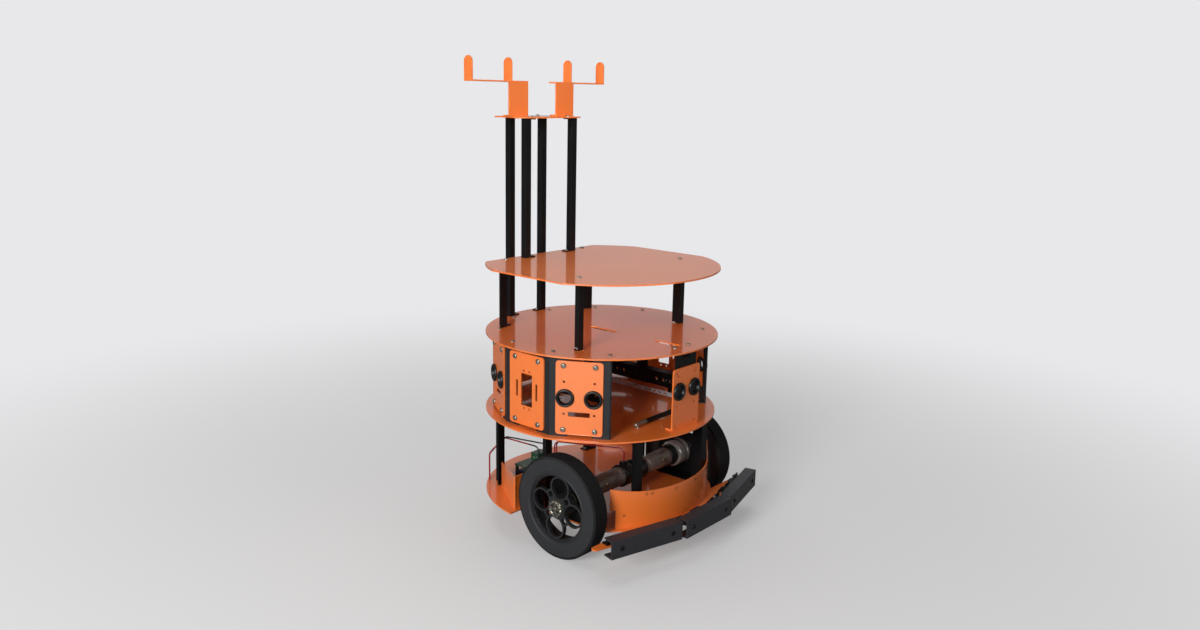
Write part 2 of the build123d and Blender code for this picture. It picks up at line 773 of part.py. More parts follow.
# Drive wheels: hub coupling with its shaft, spoked rim and ribbed tyre
def wheel_plane(side, distance):
    """Plane across the wheel axis at a distance from the centre, looking outward."""
    return Plane(origin=(side * distance, axle_y, wheel_radius), x_dir=(0, 1, 0), z_dir=(side, 0, 0))


def hub(name, side):
    inner = bracket_x + 1.6
    with BuildPart() as coupling:
        with BuildSketch(wheel_plane(side, inner)):
            Circle(hub_flange_r - 4)
        extrude(amount=wheel_inner_x - inner)
        with BuildSketch(wheel_plane(side, wheel_inner_x - hub_flange_t + 1.0)):
            Circle(hub_flange_r)
        extrude(amount=hub_flange_t)
        with BuildSketch(wheel_plane(side, wheel_inner_x)):
            Circle(hub_r)
        extrude(amount=wheel_width + 1.0)
        chamfer(coupling.faces().sort_by(Axis.X)[-1 if side > 0 else 0].edges(), length=1.0)
        with BuildSketch(wheel_plane(side, gearbox_x - gearbox_length * 0.5)):
            Circle(shaft_r)
        extrude(amount=inner + 1 - gearbox_x + gearbox_length * 0.5)
        with BuildSketch(wheel_plane(side, wheel_outer_x + 1.0)):
            Circle(shaft_r)
        extrude(amount=-2.0, mode=Mode.SUBTRACT)
    save(coupling, name)


def rim(name, side):
    outer = wheel_plane(side, wheel_outer_x)
    web = wheel_plane(side, wheel_outer_x - rim_web_recess)
    flange_step = 1.5
    with BuildPart() as body:
        with BuildSketch(outer.offset(-flange_step)):
            Circle(rim_seat_r)
            Circle(rim_opening_r, mode=Mode.SUBTRACT)
        extrude(amount=-(wheel_width - 2 * flange_step))
        with BuildSketch(web):
            Circle(rim_opening_r)
        extrude(amount=-rim_web_t)
        with BuildSketch(wheel_plane(side, wheel_inner_x + 1.0 + seat_gap)):
            Circle(hub_r + 4.0)
        extrude(amount=wheel_width - 1.0 - seat_gap - rim_web_recess + 1.5)
        with BuildSketch(outer):
            with PolarLocations(rim_hole_place_r, 4, start_angle=side * rim_phase):
                Circle(rim_hole_r)
            with PolarLocations(rim_small_place_r, 4, start_angle=45 + side * rim_phase):
                Circle(rim_small_hole_r)
        extrude(amount=-wheel_width, mode=Mode.SUBTRACT)
        with BuildSketch(outer):
            Circle(rim_opening_r - 1.5)
            Circle(rim_small_place_r + rim_small_hole_r + rim_rib, mode=Mode.SUBTRACT)
            with PolarLocations(rim_hole_place_r, 4, start_angle=side * rim_phase):
                Circle(rim_hole_r + rim_rib, mode=Mode.SUBTRACT)
        extrude(amount=-wheel_width, mode=Mode.SUBTRACT)
        with BuildSketch(outer):
            Circle(hub_r + running_gap)
        extrude(amount=-wheel_width, mode=Mode.SUBTRACT)
    save(body, name)


def tyre(name, side):
    """Flat-sided tyre turned about the wheel axis, with grooves round its tread."""
    half = wheel_width / 2
    seat = rim_seat_r + running_gap
    shoulder = wheel_radius - tyre_shoulder
    lip_r = rim_opening_r + 1.5
    lip_inner = half - 1.45
    middle = side * (wheel_outer_x - half)
    section = Plane(origin=(middle, axle_y, wheel_radius), x_dir=(0, 1, 0), z_dir=(1, 0, 0))
    with BuildPart() as ring:
        with BuildSketch(Plane(origin=section.origin, x_dir=(1, 0, 0), z_dir=(0, -1, 0))):
            with BuildLine():
                Polyline((-half, lip_r), (-half, shoulder), (-half + tyre_shoulder, wheel_radius),
                         (half - tyre_shoulder, wheel_radius), (half, shoulder), (half, lip_r),
                         (lip_inner, lip_r), (lip_inner, seat), (-lip_inner, seat), (-lip_inner, lip_r),
                         close=True)
            make_face()
            with Locations((-half / 3, wheel_radius), (half / 3, wheel_radius)):
                Rectangle(tread_groove * 1.5, 2 * tread_groove, mode=Mode.SUBTRACT)
        revolve(axis=Axis(section.origin, (1, 0, 0)))
    save(ring, name)


for side_name, side in sides.items():
    motor_bracket(f"motor_bracket_{side_name}", side)
    gearbox(f"gearbox_{side_name}", side)
    motor(f"motor_{side_name}", side)
    hub(f"wheel_hub_{side_name}", side)
    rim(f"wheel_rim_{side_name}", side)
    tyre(f"tyre_{side_name}", side)


# Bumper bars: channels open to the rear, each on two headed guide pins
def bar_frame(place, z):
    x, y, yaw, _ = place
    return standing(x, y, z, yaw)


def upright(place, inward):
    """Upright plane along a bar, a distance behind the bar's front, looking inward."""
    x, y, yaw, _ = place
    c, s = cos(radians(yaw)), sin(radians(yaw))
    return Plane(origin=(x - inward * s, y + inward * c, bar_low + bar_height / 2),
                 x_dir=(-c, -s, 0), z_dir=(-s, c, 0))


def bumper_bar(name, place):
    """Channel with its headed guide pins, which run in the holes of the carrier."""
    length = place[3]
    bottom = bar_frame(place, bar_low)
    spread = 2 * bar_pin_share * length
    carrier_back = bar_to_plate + carrier_setback + bar_wall
    with BuildPart() as bar:
        with BuildSketch(bottom):
            with Locations((0, bar_depth / 2)):
                Rectangle(length, bar_depth)
        extrude(amount=bar_height)
        with BuildSketch(bottom.offset(bar_wall)):
            with Locations((0, bar_wall + bar_depth / 2)):
                Rectangle(length + 1, bar_depth)
        extrude(amount=bar_height - 2 * bar_wall, mode=Mode.SUBTRACT)
        with BuildSketch(upright(place, bar_wall / 2)):
            with GridLocations(spread, 0, 2, 1):
                Circle(pin_r)
        extrude(amount=carrier_back + seat_gap + pin_head_t - bar_wall / 2)
        with BuildSketch(upright(place, carrier_back + seat_gap)):
            with GridLocations(spread, 0, 2, 1):
                Circle(pin_head_r)
        extrude(amount=pin_head_t)
    save(bar, name)


for bar_name, place in bars.items():
    bumper_bar(f"bumper_bar_{bar_name}", place)

pin_z = bar_low + bar_height / 2
with BuildPart() as bumper_carriers:
    for place in bars.values():
        spread = 2 * bar_pin_share * place[3]
        rise = carrier_height / 2 - (pin_z - base_height)
        with BuildSketch(upright(place, bar_to_plate + carrier_setback)):
            with Locations((-spread / 2, rise), (spread / 2, rise)):
                Rectangle(carrier_width, carrier_height)
            with Locations((0, rise)):
                Rectangle(switch_length, carrier_height)
            with GridLocations(spread, 0, 2, 1):
                Circle(pin_r + running_gap, mode=Mode.SUBTRACT)
        extrude(amount=bar_wall)
        foot_inward = bar_to_plate + carrier_setback + carrier_foot / 2
        with BuildSketch(bar_frame(place, base_height)):
            with Locations((-spread / 2, foot_inward), (spread / 2, foot_inward)):
                Rectangle(carrier_width, carrier_foot)
            with Locations((0, foot_inward)):
                Rectangle(switch_length, carrier_foot)
        extrude(amount=sheet_t)
save(bumper_carriers, "bumper_carriers")

with BuildPart() as bumper_switches:
    plunger = bar_to_plate + carrier_setback - switch_depth - bar_wall - bar_travel - seat_gap
    for place in bars.values():
        with BuildSketch(upright(place, bar_to_plate + carrier_setback)):
            Rectangle(switch_length, switch_height)
        extrude(amount=-switch_depth)
        with BuildSketch(upright(place, bar_to_plate + carrier_setback - switch_depth)):
            with Locations((switch_length / 4, 0)):
                Circle(plunger_r)
        extrude(amount=-plunger)
save(bumper_switches, "bumper_switches")

# Rear caster: plate with its bearing cup and pin, swivelling fork with its axle, and wheel
cup_low = base_low - caster_plate_t - caster_cup_height
fork_top = cup_low - fork_top_gap
fork_low = fork_top - fork_top_t
fork_half = caster_wheel_width / 2 + caster_side_gap
pin_low = fork_low - fork_top_gap - 1.2
with BuildPart() as caster_plate:
    with BuildSketch(standing(0, caster_y, base_low - caster_plate_t)):
        RectangleRounded(*caster_plate_size, edge_round / 2)
        with GridLocations(caster_plate_size[0] - 10, caster_plate_size[1] - 10, 2, 2):
            Circle(screw_hole_r, mode=Mode.SUBTRACT)
    extrude(amount=caster_plate_t)
    with BuildSketch(standing(0, caster_y, cup_low)):
        Circle(caster_cup_r)
    extrude(amount=caster_cup_height)
    with BuildSketch(standing(0, caster_y, pin_low)):
        Circle(caster_pin_r)
    extrude(amount=cup_low - pin_low)
    with BuildSketch(standing(0, caster_y, pin_low)):
        Circle(caster_pin_r + 1.6)
    extrude(amount=1.2)
save(caster_plate, "caster_plate")

axle_place_y = caster_y + caster_trail
with BuildPart() as caster_fork:
    with BuildSketch(standing(0, caster_y, fork_low)):
        Circle(caster_cup_r)
        Circle(caster_pin_r + running_gap, mode=Mode.SUBTRACT)
    extrude(amount=fork_top_t)
    for side in sides.values():
        with BuildSketch(Plane.YZ.offset(side * fork_half)):
            with BuildLine():
                Polyline((caster_y - 8, fork_top), (caster_y + 10, fork_top),
                         (axle_place_y + 4.5, caster_wheel_r), (axle_place_y, caster_wheel_r - 4.5),
                         (axle_place_y - 4.5, caster_wheel_r), close=True)
            make_face()
        extrude(amount=side * caster_arm_t)
        with BuildSketch(Plane.YZ.offset(side * (fork_half + caster_arm_t))):
            with Locations((axle_place_y, caster_wheel_r)):
                Circle(caster_axle_r + 1.2)
        extrude(amount=side * 1.0)
    with BuildSketch(Plane.YZ.offset(-fork_half - caster_arm_t)):
        with Locations((axle_place_y, caster_wheel_r)):
            Circle(caster_axle_r)
    extrude(amount=2 * (fork_half + caster_arm_t))
save(caster_fork, "caster_fork")

with BuildPart() as caster_wheel:
    with BuildSketch(Plane.YZ.offset(-caster_wheel_width / 2)):
        with Locations((axle_place_y, caster_wheel_r)):
            Circle(caster_wheel_r)
    extrude(amount=caster_wheel_width)
    fillet(caster_wheel.edges().filter_by(GeomType.CIRCLE), radius=1.6)
    with BuildSketch(Plane.YZ.offset(-caster_wheel_width / 2)):
        with Locations((axle_place_y, caster_wheel_r)):
            Circle(caster_axle_r + running_gap)
    extrude(amount=caster_wheel_width, mode=Mode.SUBTRACT)
save(caster_wheel, "caster_wheel")

# Battery pack on the base plate, with the driver board on standoffs above it
with BuildPart() as battery_pack:
    with BuildSketch(standing(*battery_place, base_height)):
        RectangleRounded(battery_size[0], battery_size[1], 3.0)
    extrude(amount=battery_size[2])
    fillet(battery_pack.faces().sort_by(Axis.Z)[-1].edges(), radius=1.5)
save(battery_pack, "battery_pack")

board_z = base_height + battery_size[2] + board_gap
with BuildPart() as driver_board:
    with BuildSketch(standing(*battery_place, board_z)):
        Rectangle(*board_size)
    extrude(amount=board_t)
    with BuildSketch(standing(*battery_place, board_z + board_t)):
        with Locations((-16, connector_y), (0, connector_y), (17, connector_y)):
            Rectangle(12, 9)
    extrude(amount=connector_height)
    with BuildSketch(standing(*battery_place, board_z + board_t)):
        with Locations((8, 9)):
            Rectangle(18, 14)
    extrude(amount=12.0)
    with BuildSketch(standing(*battery_place, base_height)):
        with GridLocations(board_size[0] - 2 * standoff_r, board_size[1] - 2 * standoff_r, 2, 2):
            Circle(standoff_r)
    extrude(amount=board_z - base_height)
save(driver_board, "driver_board")


wire_start_z = board_z + board_t + connector_height
can_top = gearbox_z + can_r
encoder_top = gearbox_z + encoder_r
white_x, white_y = white_wire_place
wire_routes = [[(white_x, white_y, bay_floor_low), (white_x, white_y, bay_floor_low - 2 * wire_lift),
                (white_x + 7, axle_y, can_top + wire_lift), (white_x + 7, axle_y, can_top)]]
for along, turn_place, end_place in rear_wires:
    start = (battery_place[0] + along, battery_place[1] + connector_y)
    wire_routes.append([(*start, wire_start_z), (*start, wire_start_z + wire_lift),
                        (*turn_place, wire_start_z + wire_lift), (*end_place, wire_start_z),
                        (*end_place, base_height)])
for along, x in motor_wires:
    start = (battery_place[0] + along, battery_place[1] + connector_y)
    wire_routes.append([(*start, wire_start_z), (*start, wire_start_z + wire_lift),
                        (x, axle_y, encoder_top + wire_lift), (x, axle_y, encoder_top)])
with BuildPart() as wires:
    for route in wire_routes:
        with BuildLine() as run:
            FilletPolyline(*route, radius=wire_bend)
        with BuildSketch(Plane(origin=route[0], z_dir=run.line % 0)):
            Circle(wire_r)
        sweep()
print(f"wires: {2 * wire_r:.1f} mm thick, bend radius {wire_bend:.1f} mm")
save(wires, "wires")


def sensor_fork(name, side):
    """Folded bracket: foot, upright flange, level arm and two round-ended prongs."""
    low, high = fork_flange
    arm_z = mast_plate_height + fork_rise
    with BuildPart() as fork:
        with BuildSketch(Plane.XY.offset(mast_plate_height)):
            with Locations((side * (low + high) / 2, fork_flange_y + fork_foot / 2)):
                Rectangle(high - low, fork_foot)
        extrude(amount=plate_t)
        with BuildSketch(Plane.XZ.offset(-fork_flange_y)):
            with Locations((side * (low + high) / 2, mast_plate_height + fork_rise / 2)):
                Rectangle(high - low, fork_rise)
        extrude(amount=-plate_t)
        with BuildSketch(Plane.XY.offset(arm_z - plate_t)):
            with Locations((side * (low + fork_outer_x) / 2, fork_flange_y + fork_arm_width / 2)):
                Rectangle(fork_outer_x - low, fork_arm_width)
        extrude(amount=plate_t)
        for x in (fork_inner_x, fork_outer_x):
            with BuildSketch(Plane.YZ.offset(side * x)):
                with Locations((fork_flange_y + fork_arm_width / 2, arm_z - plate_t + prong_height / 2)):
                    SlotOverall(prong_height, fork_arm_width, rotation=90)
                with Locations((fork_flange_y + fork_arm_width / 2, arm_z - plate_t + prong_height / 4)):
                    Rectangle(fork_arm_width, prong_height / 2)
            extrude(amount=-side * plate_t)
    save(fork, name)


for side_name, side in sides.items():
    sensor_fork(f"sensor_fork_{side_name}", side)
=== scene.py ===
import json
import math
import bmesh
import bpy
from mathutils import Matrix, Vector


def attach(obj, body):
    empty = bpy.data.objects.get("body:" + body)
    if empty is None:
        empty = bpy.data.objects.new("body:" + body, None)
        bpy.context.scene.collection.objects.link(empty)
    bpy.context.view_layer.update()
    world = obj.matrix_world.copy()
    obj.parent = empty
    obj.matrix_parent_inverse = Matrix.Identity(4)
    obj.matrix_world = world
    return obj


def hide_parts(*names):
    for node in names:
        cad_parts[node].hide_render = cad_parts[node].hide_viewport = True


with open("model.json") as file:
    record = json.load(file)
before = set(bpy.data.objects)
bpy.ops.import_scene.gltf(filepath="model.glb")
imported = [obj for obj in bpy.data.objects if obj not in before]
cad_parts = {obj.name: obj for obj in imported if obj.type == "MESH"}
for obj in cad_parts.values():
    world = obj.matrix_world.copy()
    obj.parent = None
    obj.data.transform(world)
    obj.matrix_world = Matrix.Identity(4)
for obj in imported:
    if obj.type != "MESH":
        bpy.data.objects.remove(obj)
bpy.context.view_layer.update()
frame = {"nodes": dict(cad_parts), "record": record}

# Sizes shared with the CAD model, in millimetres. Plates are given by the height of their upper face.
MM = 0.001
BASE_Z, FLOOR_Z, ROOF_Z, DECK_Z, MAST_Z = 42.5, 161.7, 269.5, 362.4, 555.5
PLATE_T, PANEL_T, STRIP_T, FOOT_T, FENDER_T = 2.0, 2.0, 2.0, 1.6, 1.5
WHEEL_R, WHEEL_W, WHEEL_OUT, AXLE_Y = 68.0, 24.0, 150.0, -56.0
GEAR_Z = 75.0
APOTHEM = 145.0
PANEL_FOOT, PANEL_H = 3.3, 96.5
PANEL_MID = FLOOR_Z + PANEL_FOOT + PANEL_H / 2
EYE_SPREAD = 18.2
EYE_ANGLES, WINDOW_ANGLES = (30, 90, 150, 210, 330), (0, 60, 120, 180)
PANEL_ANGLES = sorted(EYE_ANGLES + WINDOW_ANGLES)
STRIP_ANGLES = {"left": (105, 135, 165, 195, 225), "right": (315, 345, 15, 45, 75)}
FRONT_Y, FRONT_EYE_Z, FRONT_EYE_SPREAD = -147.0, FLOOR_Z + 52.5, 16.5
SIDES = {"left": -1, "right": 1}
UP = (0, 0, 1)


def rgb(r, g, b):
    """Linear colour from display values of 0 to 255."""
    def lin(v):
        v /= 255.0
        return v / 12.92 if v <= 0.04045 else ((v + 0.055) / 1.055) ** 2.4
    return (lin(r), lin(g), lin(b), 1.0)


# Materials
def add_node(tree, kind, *ordered, settings=None, **named):
    """Adds a shader node. Its inputs come in order or by name, each a value or an output to link."""
    node = tree.nodes.new(f"ShaderNode{kind}")
    for key, value in (settings or {}).items():
        setattr(node, key, value)
    for key, value in [*enumerate(ordered), *named.items()]:
        socket = node.inputs[key.replace("_", " ") if isinstance(key, str) else key]
        if isinstance(value, bpy.types.NodeSocket):
            tree.links.new(value, socket)
        else:
            socket.default_value = value
    return node


def mix_colours(tree, factor, first, second):
    """Mixes two colours by a factor."""
    mix = add_node(tree, "Mix", settings={"data_type": "RGBA"}, Factor=factor, A=first, B=second)
    return mix.outputs["Result"]


def colour_ramp(tree, factor, *stops):
    """Runs between two stops, each a position and a colour."""
    ramp = add_node(tree, "ValToRGB", Fac=factor)
    for element, (position, colour) in zip(ramp.color_ramp.elements, stops):
        element.position, element.color = position, colour
    return ramp.outputs["Color"]


def material(name, colour, rough, metal=0.0, tint=None, tint_scale=9.0, tint_amount=0.35, grain=900.0,
             grain_depth=0.05, coat=0.0, coat_rough=0.1, bevel=0.0, rough_span=0.08, stretch=(1, 1, 1),
             spec=0.5, speckle=None):
    """Procedural surface: two tones mixed by soft noise, a fine grain in the bump and uneven gloss.

    A speckle is a colour, the scale of its noise and the level above which it shows.
    """
    m = bpy.data.materials.new(name)
    m.use_nodes = True
    tree = m.node_tree
    tree.nodes.clear()
    place = add_node(tree, "TexCoord").outputs["Object"]
    grid = add_node(tree, "Mapping", Vector=place, Scale=stretch).outputs[0]
    tones = add_node(tree, "TexNoise", Vector=grid, Scale=tint_scale, Detail=5.0, Roughness=0.6)
    soft = tones.outputs["Fac"]
    other = tint or tuple(c * 0.78 for c in colour[:3]) + (1.0,)
    shade = tuple(a + (b - a) * tint_amount for a, b in zip(colour, other))
    tone = colour_ramp(tree, soft, (0.3, shade), (0.7, colour))
    if speckle:
        spot_colour, spot_scale, level = speckle
        spots = add_node(tree, "TexNoise", Vector=place, Scale=spot_scale, Detail=2.0).outputs["Fac"]
        cut = add_node(tree, "MapRange", Value=spots, From_Min=level, From_Max=level + 0.06)
        tone = mix_colours(tree, cut.outputs["Result"], tone, spot_colour)
    gloss = add_node(tree, "MapRange", Value=soft, To_Min=max(0.02, rough - rough_span),
                     To_Max=rough + rough_span)
    fine = add_node(tree, "TexNoise", Vector=grid, Scale=grain, Detail=3.0).outputs["Fac"]
    bump = add_node(tree, "Bump", Height=fine, Strength=grain_depth, Distance=0.0004)
    if bevel:
        edge = add_node(tree, "Bevel", settings={"samples": 4}, Radius=bevel)
        tree.links.new(edge.outputs[0], bump.inputs["Normal"])
    bsdf = add_node(tree, "BsdfPrincipled", Base_Color=tone, Metallic=metal,
                    Roughness=gloss.outputs["Result"], Specular_IOR_Level=spec, Coat_Weight=coat,
                    Coat_Roughness=coat_rough, Normal=bump.outputs[0])
    add_node(tree, "OutputMaterial", bsdf.outputs[0])
    return m


def banded(m, axis, bands):
    """Gives a material other colours in bands (low, high, colour) along one axis, in metres."""
    tree = m.node_tree
    base = next(n for n in tree.nodes if n.type == "BSDF_PRINCIPLED").inputs["Base Color"]
    coord = next(n for n in tree.nodes if n.type == "TEX_COORD")
    along = add_node(tree, "SeparateXYZ", coord.outputs["Object"]).outputs[axis]
    tone = base.links[0].from_socket
    for low, high, colour in bands:
        band = add_node(tree, "Math", along, (low + high) / 2, (high - low) / 2,
                        settings={"operation": "COMPARE"})
        tone = mix_colours(tree, band.outputs[0], tone, colour)
    tree.links.new(tone, base)
    return m


orange = material("orange_coat", rgb(241, 121, 40), 0.46, tint=rgb(230, 106, 30), tint_scale=6.0,
                  grain=420.0, grain_depth=0.04, coat=0.8, coat_rough=0.06, bevel=0.0005,
                  rough_span=0.05, spec=1.0)
black = material("black_coat", rgb(13, 13, 14), 0.42, tint=rgb(8, 8, 9), grain=1500.0, grain_depth=0.12,
                 bevel=0.0005, spec=0.25)
strip_coat = material("strip_coat", rgb(33, 35, 38), 0.5, tint=rgb(26, 28, 30), tint_scale=25.0,
                      grain=1500.0, grain_depth=0.12, spec=0.3)
bar_grey = material("bar_coat", rgb(46, 46, 51), 0.44, tint=rgb(37, 38, 42), tint_scale=30.0,
                    grain=1300.0, grain_depth=0.15, bevel=0.0006, stretch=(1, 1, 3))
plastic = material("black_moulding", rgb(13, 13, 14), 0.38, tint=rgb(8, 8, 9), grain=1200.0,
                   grain_depth=0.06, bevel=0.0003)
rim_plastic = material("rim_moulding", rgb(34, 35, 37), 0.5, tint=rgb(25, 26, 28), grain=1000.0,
                       grain_depth=0.1, bevel=0.0005)
rubber = material("tyre_rubber", rgb(38, 39, 42), 0.6, tint=rgb(30, 31, 34), tint_scale=45.0,
                  grain=1400.0, grain_depth=0.2, speckle=(rgb(52, 52, 55), 160.0, 0.7))
tread_rubber = material("tread_rubber", rgb(24, 24, 26), 0.7, tint=rgb(16, 16, 17), tint_scale=60.0,
                        grain=1500.0, grain_depth=0.25, spec=0.3)
can_metal = material("can_metal", rgb(160, 149, 140), 0.5, metal=0.55, tint=rgb(92, 84, 78),
                     tint_scale=140.0, tint_amount=0.9, grain=900.0, grain_depth=0.3,
                     stretch=(0.3, 1, 1))
gear_metal = material("gear_metal", rgb(222, 220, 216), 0.2, metal=0.6, tint=rgb(150, 147, 143),
                      tint_scale=40.0, tint_amount=0.7, grain=600.0, grain_depth=0.08,
                      stretch=(0.3, 1, 1))
screw_metal = material("screw_metal", rgb(166, 161, 150), 0.3, metal=0.8, tint=rgb(108, 103, 94),
                       tint_scale=200.0, tint_amount=0.6, grain=2500.0, grain_depth=0.1)
dark_screw = material("dark_screw", rgb(34, 34, 37), 0.35, metal=0.6, tint=rgb(20, 20, 22),
                      tint_scale=200.0, grain=2500.0, grain_depth=0.1)
zinc = material("zinc_plate", rgb(214, 214, 216), 0.32, metal=0.6, tint=rgb(168, 168, 172),
                tint_scale=120.0, tint_amount=0.6, grain=900.0, grain_depth=0.08)
brass = material("hub_metal", rgb(176, 168, 140), 0.3, metal=1.0, tint=rgb(128, 120, 98),
                 tint_scale=150.0, tint_amount=0.6, grain=1200.0, grain_depth=0.1)
knurl = material("hub_knurl", rgb(168, 165, 152), 0.4, metal=0.85, tint=rgb(40, 38, 34),
                 tint_scale=320.0, tint_amount=1.0, grain=1500.0, grain_depth=0.3)
wrap = material("battery_wrap", rgb(26, 40, 66), 0.3, tint=rgb(18, 28, 48), tint_scale=30.0,
                grain=300.0, grain_depth=0.12, coat=0.3)
board_green = material("board_mask", rgb(26, 66, 44), 0.35, tint=rgb(18, 48, 33), tint_scale=300.0,
                       grain=900.0, grain_depth=0.1, speckle=(rgb(150, 150, 140), 420.0, 0.62))
caster_rubber = material("caster_rubber", rgb(42, 42, 44), 0.6, tint=rgb(32, 32, 33), tint_scale=60.0,
                         grain=1300.0, grain_depth=0.18)

# Wires are red but for a white one and black sleeves. Strips are bare below their black upper part.
WHITE_WIRE, BLACK_SLEEVE, STRIP_BLACK = rgb(208, 206, 200), rgb(20, 20, 22), rgb(12, 12, 13)
wire_colours = banded(
    material("wire_colours", rgb(158, 22, 34), 0.35, tint=rgb(112, 16, 24), tint_scale=90.0,
             grain=800.0, grain_depth=0.05),
    "X", ((0.024, 1.0, WHITE_WIRE), (-0.0765, -0.05, BLACK_SLEEVE),
          (-0.0975, -0.0945, BLACK_SLEEVE), (0.004, 0.0235, BLACK_SLEEVE)))
strip_zinc = banded(
    material("strip_zinc", rgb(214, 214, 216), 0.34, metal=0.5, tint=rgb(168, 168, 172),
             tint_scale=120.0, tint_amount=0.6, grain=900.0, grain_depth=0.08),
    "Z", ((0.1811, 0.3, STRIP_BLACK),))

PAINT = {"orange_sheet": orange, "black_sheet": black, "grey_bar": bar_grey, "black_plastic": plastic,
         "gear_steel": gear_metal, "motor_can": can_metal, "tyre_rubber": rubber,
         "wheel_plastic": rim_plastic, "hub_metal": brass, "battery_wrap": wrap,
         "circuit_board": board_green, "caster_rubber": caster_rubber, "plated_steel": zinc,
         "rod_black": black, "wire_sleeve": wire_colours}


def paint_nodes():
    """Gives each node of the frame the material of its slot in the record."""
    slots = {part["node"]: part["material_slot"] for part in frame["record"]["subparts"]}
    for name, node in frame["nodes"].items():
        node.data.materials.clear()
        node.data.materials.append(strip_zinc if name == "bay_strips" else PAINT[slots[name]])


# Mesh helpers, all in millimetres
def mesh_object(name, bm, mat, body, sharp=40.0):
    """Object from a bmesh, smooth but for edges sharper than an angle, riding on a body."""
    bmesh.ops.recalc_face_normals(bm, faces=bm.faces)
    for face in bm.faces:
        face.smooth = True
    for edge in bm.edges:
        if len(edge.link_faces) == 2 and edge.calc_face_angle(0.0) > math.radians(sharp):
            edge.smooth = False
    bmesh.ops.scale(bm, vec=(MM, MM, MM), verts=bm.verts)
    me = bpy.data.meshes.new(name)
    bm.to_mesh(me)
    bm.free()
    me.materials.append(mat)
    ob = bpy.data.objects.new(name, me)
    bpy.context.scene.collection.objects.link(ob)
    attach(ob, body)
    return ob


def columns_matrix(x, y, z, origin):
    """Matrix from its three axes and its origin."""
    return Matrix([(x[i], y[i], z[i], origin[i]) for i in range(3)] + [(0, 0, 0, 1)])


def axis_matrix(origin, direction):
    """Matrix whose z axis runs along a direction, with its x axis as upright as can be."""
    z = Vector(direction).normalized()
    x = Vector(UP) - z.z * z
    if x.length < 1e-4:
        x = Vector((1, 0, 0)) - z.x * z
    x.normalize()
    return columns_matrix(x, z.cross(x), z, origin)


def turned(angle, points):
    """Turns (outward, along) points to an angle about the plates' centre, in degrees from +X."""
    c, s = math.cos(math.radians(angle)), math.sin(math.radians(angle))
    return [(out * c - along * s, out * s + along * c) for out, along in points]


def facing(angle, distance, along, z):
    """Place and outward direction of a point on an upright face at an angle."""
    (x, y), = turned(angle, [(distance, along)])
    return Vector((x, y, z)), Vector((math.cos(math.radians(angle)), math.sin(math.radians(angle)), 0))


def ring_point(bm, place, radius, angle, height):
    """Adds a point at a radius and angle round the place's z axis, in radians."""
    return bm.verts.new(place @ Vector((radius * math.cos(angle), radius * math.sin(angle), height)))


def bridge(bm, low, high):
    """Joins two rings of points by faces. One of them may be a single point."""
    steps = max(len(low), len(high))
    for i in range(steps):
        j = (i + 1) % steps
        if len(low) == 1:
            bm.faces.new((low[0], high[i], high[j]))
        elif len(high) == 1:
            bm.faces.new((low[i], low[j], high[0]))
        else:
            bm.faces.new((low[i], low[j], high[j], high[i]))


def lathe(bm, profile, place, steps=48, closed=False):
    """Adds a turned surface: profile points are (radius, height) along the place's z axis."""
    rings = []
    for radius, height in profile:
        count = steps if radius else 1
        rings.append([ring_point(bm, place, radius, 2 * math.pi * i / steps, height)
                      for i in range(count)])
    for low, high in zip(rings, rings[1:] + (rings[:1] if closed else [])):
        bridge(bm, low, high)
    return rings


def block(bm, place, size, bevel=0.4):
    """Adds a block with rounded edges, centred on the place in x and y and standing on it in z."""
    made = bmesh.ops.create_cube(bm, size=1.0)["verts"]
    bmesh.ops.scale(bm, vec=size, verts=made)
    bmesh.ops.translate(bm, vec=(0, 0, size[2] / 2), verts=made)
    edges = list({e for v in made for e in v.link_edges})
    if bevel:
        done = bmesh.ops.bevel(bm, geom=edges, offset=bevel, segments=2, affect="EDGES", profile=0.6)
        made = list({v for f in done["faces"] for v in f.verts} | {v for v in made if v.is_valid})
    bmesh.ops.transform(bm, matrix=place, verts=made)


def prism(bm, outline, low, high):
    """Adds an upright prism over an outline of (x, y) points."""
    bottom = [bm.verts.new((x, y, low)) for x, y in outline]
    top = [bm.verts.new((x, y, high)) for x, y in outline]
    bm.faces.new(bottom[::-1])
    bm.faces.new(top)
    bridge(bm, bottom, top)


def button_head(bm, place, r, h):
    """Adds a button-head screw with a hexagon socket, standing on the place."""
    steps, socket = 16, r * 0.42
    dome = [(r, 0.0), (r, h * 0.25), (r * 0.93, h * 0.58), (r * 0.72, h * 0.88), (socket * 1.25, h)]
    rim = lathe(bm, dome, place, steps)[-1]
    mouth, bottom = [], []
    for i in range(steps):
        a = 2 * math.pi * i / steps
        reach = socket / math.cos(((a + math.pi / 6) % (math.pi / 3)) - math.pi / 6)
        mouth.append(ring_point(bm, place, reach, a, h))
        bottom.append(ring_point(bm, place, reach, a, h * 0.35))
    bridge(bm, rim, mouth)
    bridge(bm, mouth, bottom)
    bm.faces.new(bottom)


def screws(name, places, r, h, mat=screw_metal, body="chassis"):
    """One object of many screw heads, each given by its origin and direction."""
    bm = bmesh.new()
    for k, (origin, direction) in enumerate(places):
        button_head(bm, axis_matrix(origin, direction) @ Matrix.Rotation(0.7 * k, 4, "Z"), r, h)
    mesh_object(name, bm, mat, body, 30.0)


